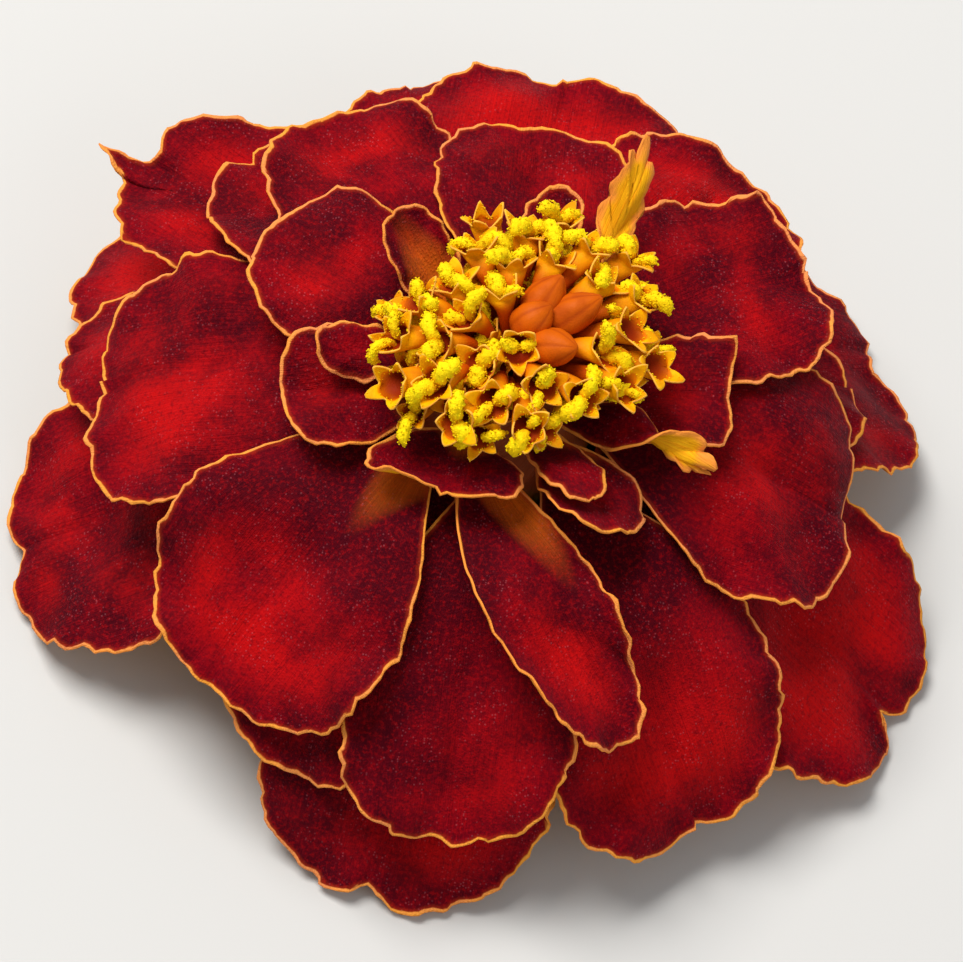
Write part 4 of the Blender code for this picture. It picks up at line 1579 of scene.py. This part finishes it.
@dataclass
class DiscPart:
    """Every floret of the disc on one pad."""

    count: int = FLORETS
    young: int = 34
    radius: float = DISC_RADIUS

    def pad(self) -> Solid:
        """Domed pad the florets grow from.

        Returns:
            The closed pad.
        """
        radius, low = DISC_BASE
        profile = smooth_profile([(0.1, low), (radius, low), (radius, low + 0.5),
                                  (radius * 0.7, low + 1.3), (0.1, low + 1.7)], 24)
        angle = turns(48)
        plain = {"along": np.zeros(len(angle)), "vein": np.zeros(len(angle))}
        return skin([level_ring(r, angle, z) for r, z in profile], [plain] * len(profile))

    def build(self) -> dict[Crop, Solid]:
        """Shape every floret in its place.

        Returns:
            The pieces of the disc.
        """
        tubes, grains, buds, trumpets = [self.pad()], [], [], []
        for number, (x, y, z) in enumerate(self.places(self.count, self.radius, 0.0)):
            if math.dist((x, y), BUD_CENTRE) < BUD_SPREAD:
                buds.append(Floret(x, y, z, seed=number).closed_bud())
            else:
                trumpets.append(Floret(x, y, z, seed=number))
        young = self.places(self.young, YOUNG_REACH * self.radius, YOUNG_TURN)
        for number, (x, y, z) in enumerate(young):
            by_cup = math.dist((x, y), CUP_EDGE) < CUP_ROOM
            if not by_cup and math.dist((x, y), BUD_CENTRE) > BUD_SPREAD:
                trumpets.append(Floret(x, y, z - YOUNG_DROP, YOUNG_SEED + number, YOUNG_SIZE))
        for floret in trumpets:
            tube, pollen = floret.open_trumpet()
            tubes.append(tube)
            grains += pollen
        return {Crop.FLORETS: Solid.join(tubes), Crop.POLLEN: Solid.join(grains),
                Crop.BUDS: Solid.join(buds)}

    @staticmethod
    def places(count: int, radius: float, turn: float) -> list[tuple[float, float, float]]:
        """Where florets open, wound out from the middle and clear of the small rays.

        Args:
            count: florets wound out.
            radius: spread of their mouths.
            turn: turn of the whole pattern, radians.

        Returns:
            The mouths.
        """
        found = []
        for k in range(count):
            share = math.sqrt((k + 0.5) / count)
            a = k * GOLDEN_ANGLE + turn
            x = radius * share * math.cos(a) + DISC_SHIFT[0]
            y = radius * share * math.sin(a) + DISC_SHIFT[1]
            z = DISC_TOP - (DISC_TOP - DISC_EDGE) * share ** 2.2
            if all(math.dist((x, y), gap[:2]) >= gap[2] for gap in GAPS):
                found.append((x, y, z))
        return found


# ------------------------------------------------------------------ stage
@dataclass
class Studio:
    """Floor, soft lights and the camera."""

    elevation: float = 59.0
    tilt: float = 9.5
    distance: float = 300.0
    lens: float = 192.9
    target: tuple[float, float, float] = (-0.372, 2.752, 1.653)
    floor_side: float = 3.0
    floor_drop: float = 0.0002

    def floor(self) -> None:
        """Lay the pale floor."""
        bpy.ops.mesh.primitive_plane_add(size=self.floor_side, location=(0, 0, -self.floor_drop))
        plane = bpy.context.object
        plane.name = "floor"
        plane.data.materials.append(FloorFinish().build())

    def light(self, name: str, place: tuple[float, float, float], size: float, power: float,
              colour: Colour, axis: Vector) -> None:
        """Hang one soft lamp that faces the flower.

        Args:
            name: lamp name.
            place: where it hangs, in metres from the flower.
            size: side of the lamp.
            power: watts.
            colour: colour of the light.
            axis: the flower's axis.
        """
        data = bpy.data.lights.new(name, "AREA")
        data.size, data.energy, data.color = size, power, colour
        lamp = bpy.data.objects.new(name, data)
        bpy.context.scene.collection.objects.link(lamp)
        lamp.location = Vector(place) + axis
        aim = Vector((0, 0, 0.012)) + axis - lamp.location
        lamp.rotation_euler = aim.to_track_quat("-Z", "Y").to_euler()

    def lights(self, axis: Vector) -> None:
        """Soft sky from above with a weak side light.

        Args:
            axis: the flower's axis.
        """
        self.light("key_lamp", (-0.22, 0.16, 0.55), 0.35, 4.6, (1.0, 0.98, 0.95), axis)
        self.light("fill_lamp", (0.45, -0.40, 0.40), 0.50, 0.9, (0.97, 0.98, 1.0), axis)
        world = bpy.data.worlds.new("soft_sky")
        world.use_nodes = True
        sky = world.node_tree.nodes["Background"]
        sky.inputs["Color"].default_value = (0.95, 0.97, 1.0, 1.0)
        sky.inputs["Strength"].default_value = 0.34
        bpy.context.scene.world = world

    def camera(self, axis: Vector) -> None:
        """Set the camera looking down on the face of the flower.

        Args:
            axis: the flower's axis.
        """
        tip, lean = math.radians(self.elevation), math.radians(self.tilt)
        back = Vector((0, -math.cos(tip), math.sin(tip)))
        level, up = Vector((1, 0, 0)), Vector((0, math.sin(tip), math.cos(tip)))
        right = level * math.cos(lean) + up * math.sin(lean)
        top = up * math.cos(lean) - level * math.sin(lean)
        data = bpy.data.cameras.new("camera")
        data.lens, data.sensor_width, data.clip_start = self.lens, 36.0, 0.01
        camera = bpy.data.objects.new("camera", data)
        bpy.context.scene.collection.objects.link(camera)
        turn = Matrix((right, top, back)).transposed().to_4x4()
        spot = axis + (Vector(self.target) + back * self.distance) * MM
        camera.matrix_world = Matrix.Translation(spot) @ turn
        bpy.context.scene.camera = camera


def main() -> None:
    """Build every piece in order, then the stage."""
    logging.basicConfig(level=logging.INFO, format="%(name)s: %(message)s")
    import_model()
    low, high = (Vector(v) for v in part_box("stem"))
    axis = Vector(((low.x + high.x) / 2, (low.y + high.y) / 2, 0.0))
    groups = EffectGroups()
    velvet = [VelvetFinish().build(groups), GoldenBackFinish().build(groups)]
    stem = GreenFinish("stem_green", (0.23, 0.36, 0.075), (0.10, 0.19, 0.03)).build(groups)
    cup = GreenFinish("cup_green", (0.17, 0.31, 0.06), (0.07, 0.15, 0.025),
                      glands=0.6).build(groups)
    gold = {Crop.FLORETS: FloretFinish(), Crop.POLLEN: PollenFinish(), Crop.BUDS: BudFinish()}
    show(StemPart().build().place("stem_skin", [stem], axis), "stem")
    show(CupPart().build().place("cup_skin", [cup], axis), "cup")
    heap = Heap()
    for ray in RAYS:
        piece = RayPetal(ray).build(heap).place(ray.name + "_skin", velvet, axis)
        show(piece, ray.name)
    for crop, solid in DiscPart().build().items():
        show(solid.place(crop.value, [gold[crop].build(groups)], axis), "disc")
    bpy.context.scene.view_settings.view_transform = "Standard"
    studio = Studio()
    studio.floor()
    studio.lights(axis)
    studio.camera(axis)


if __name__ == "__main__":
    main()
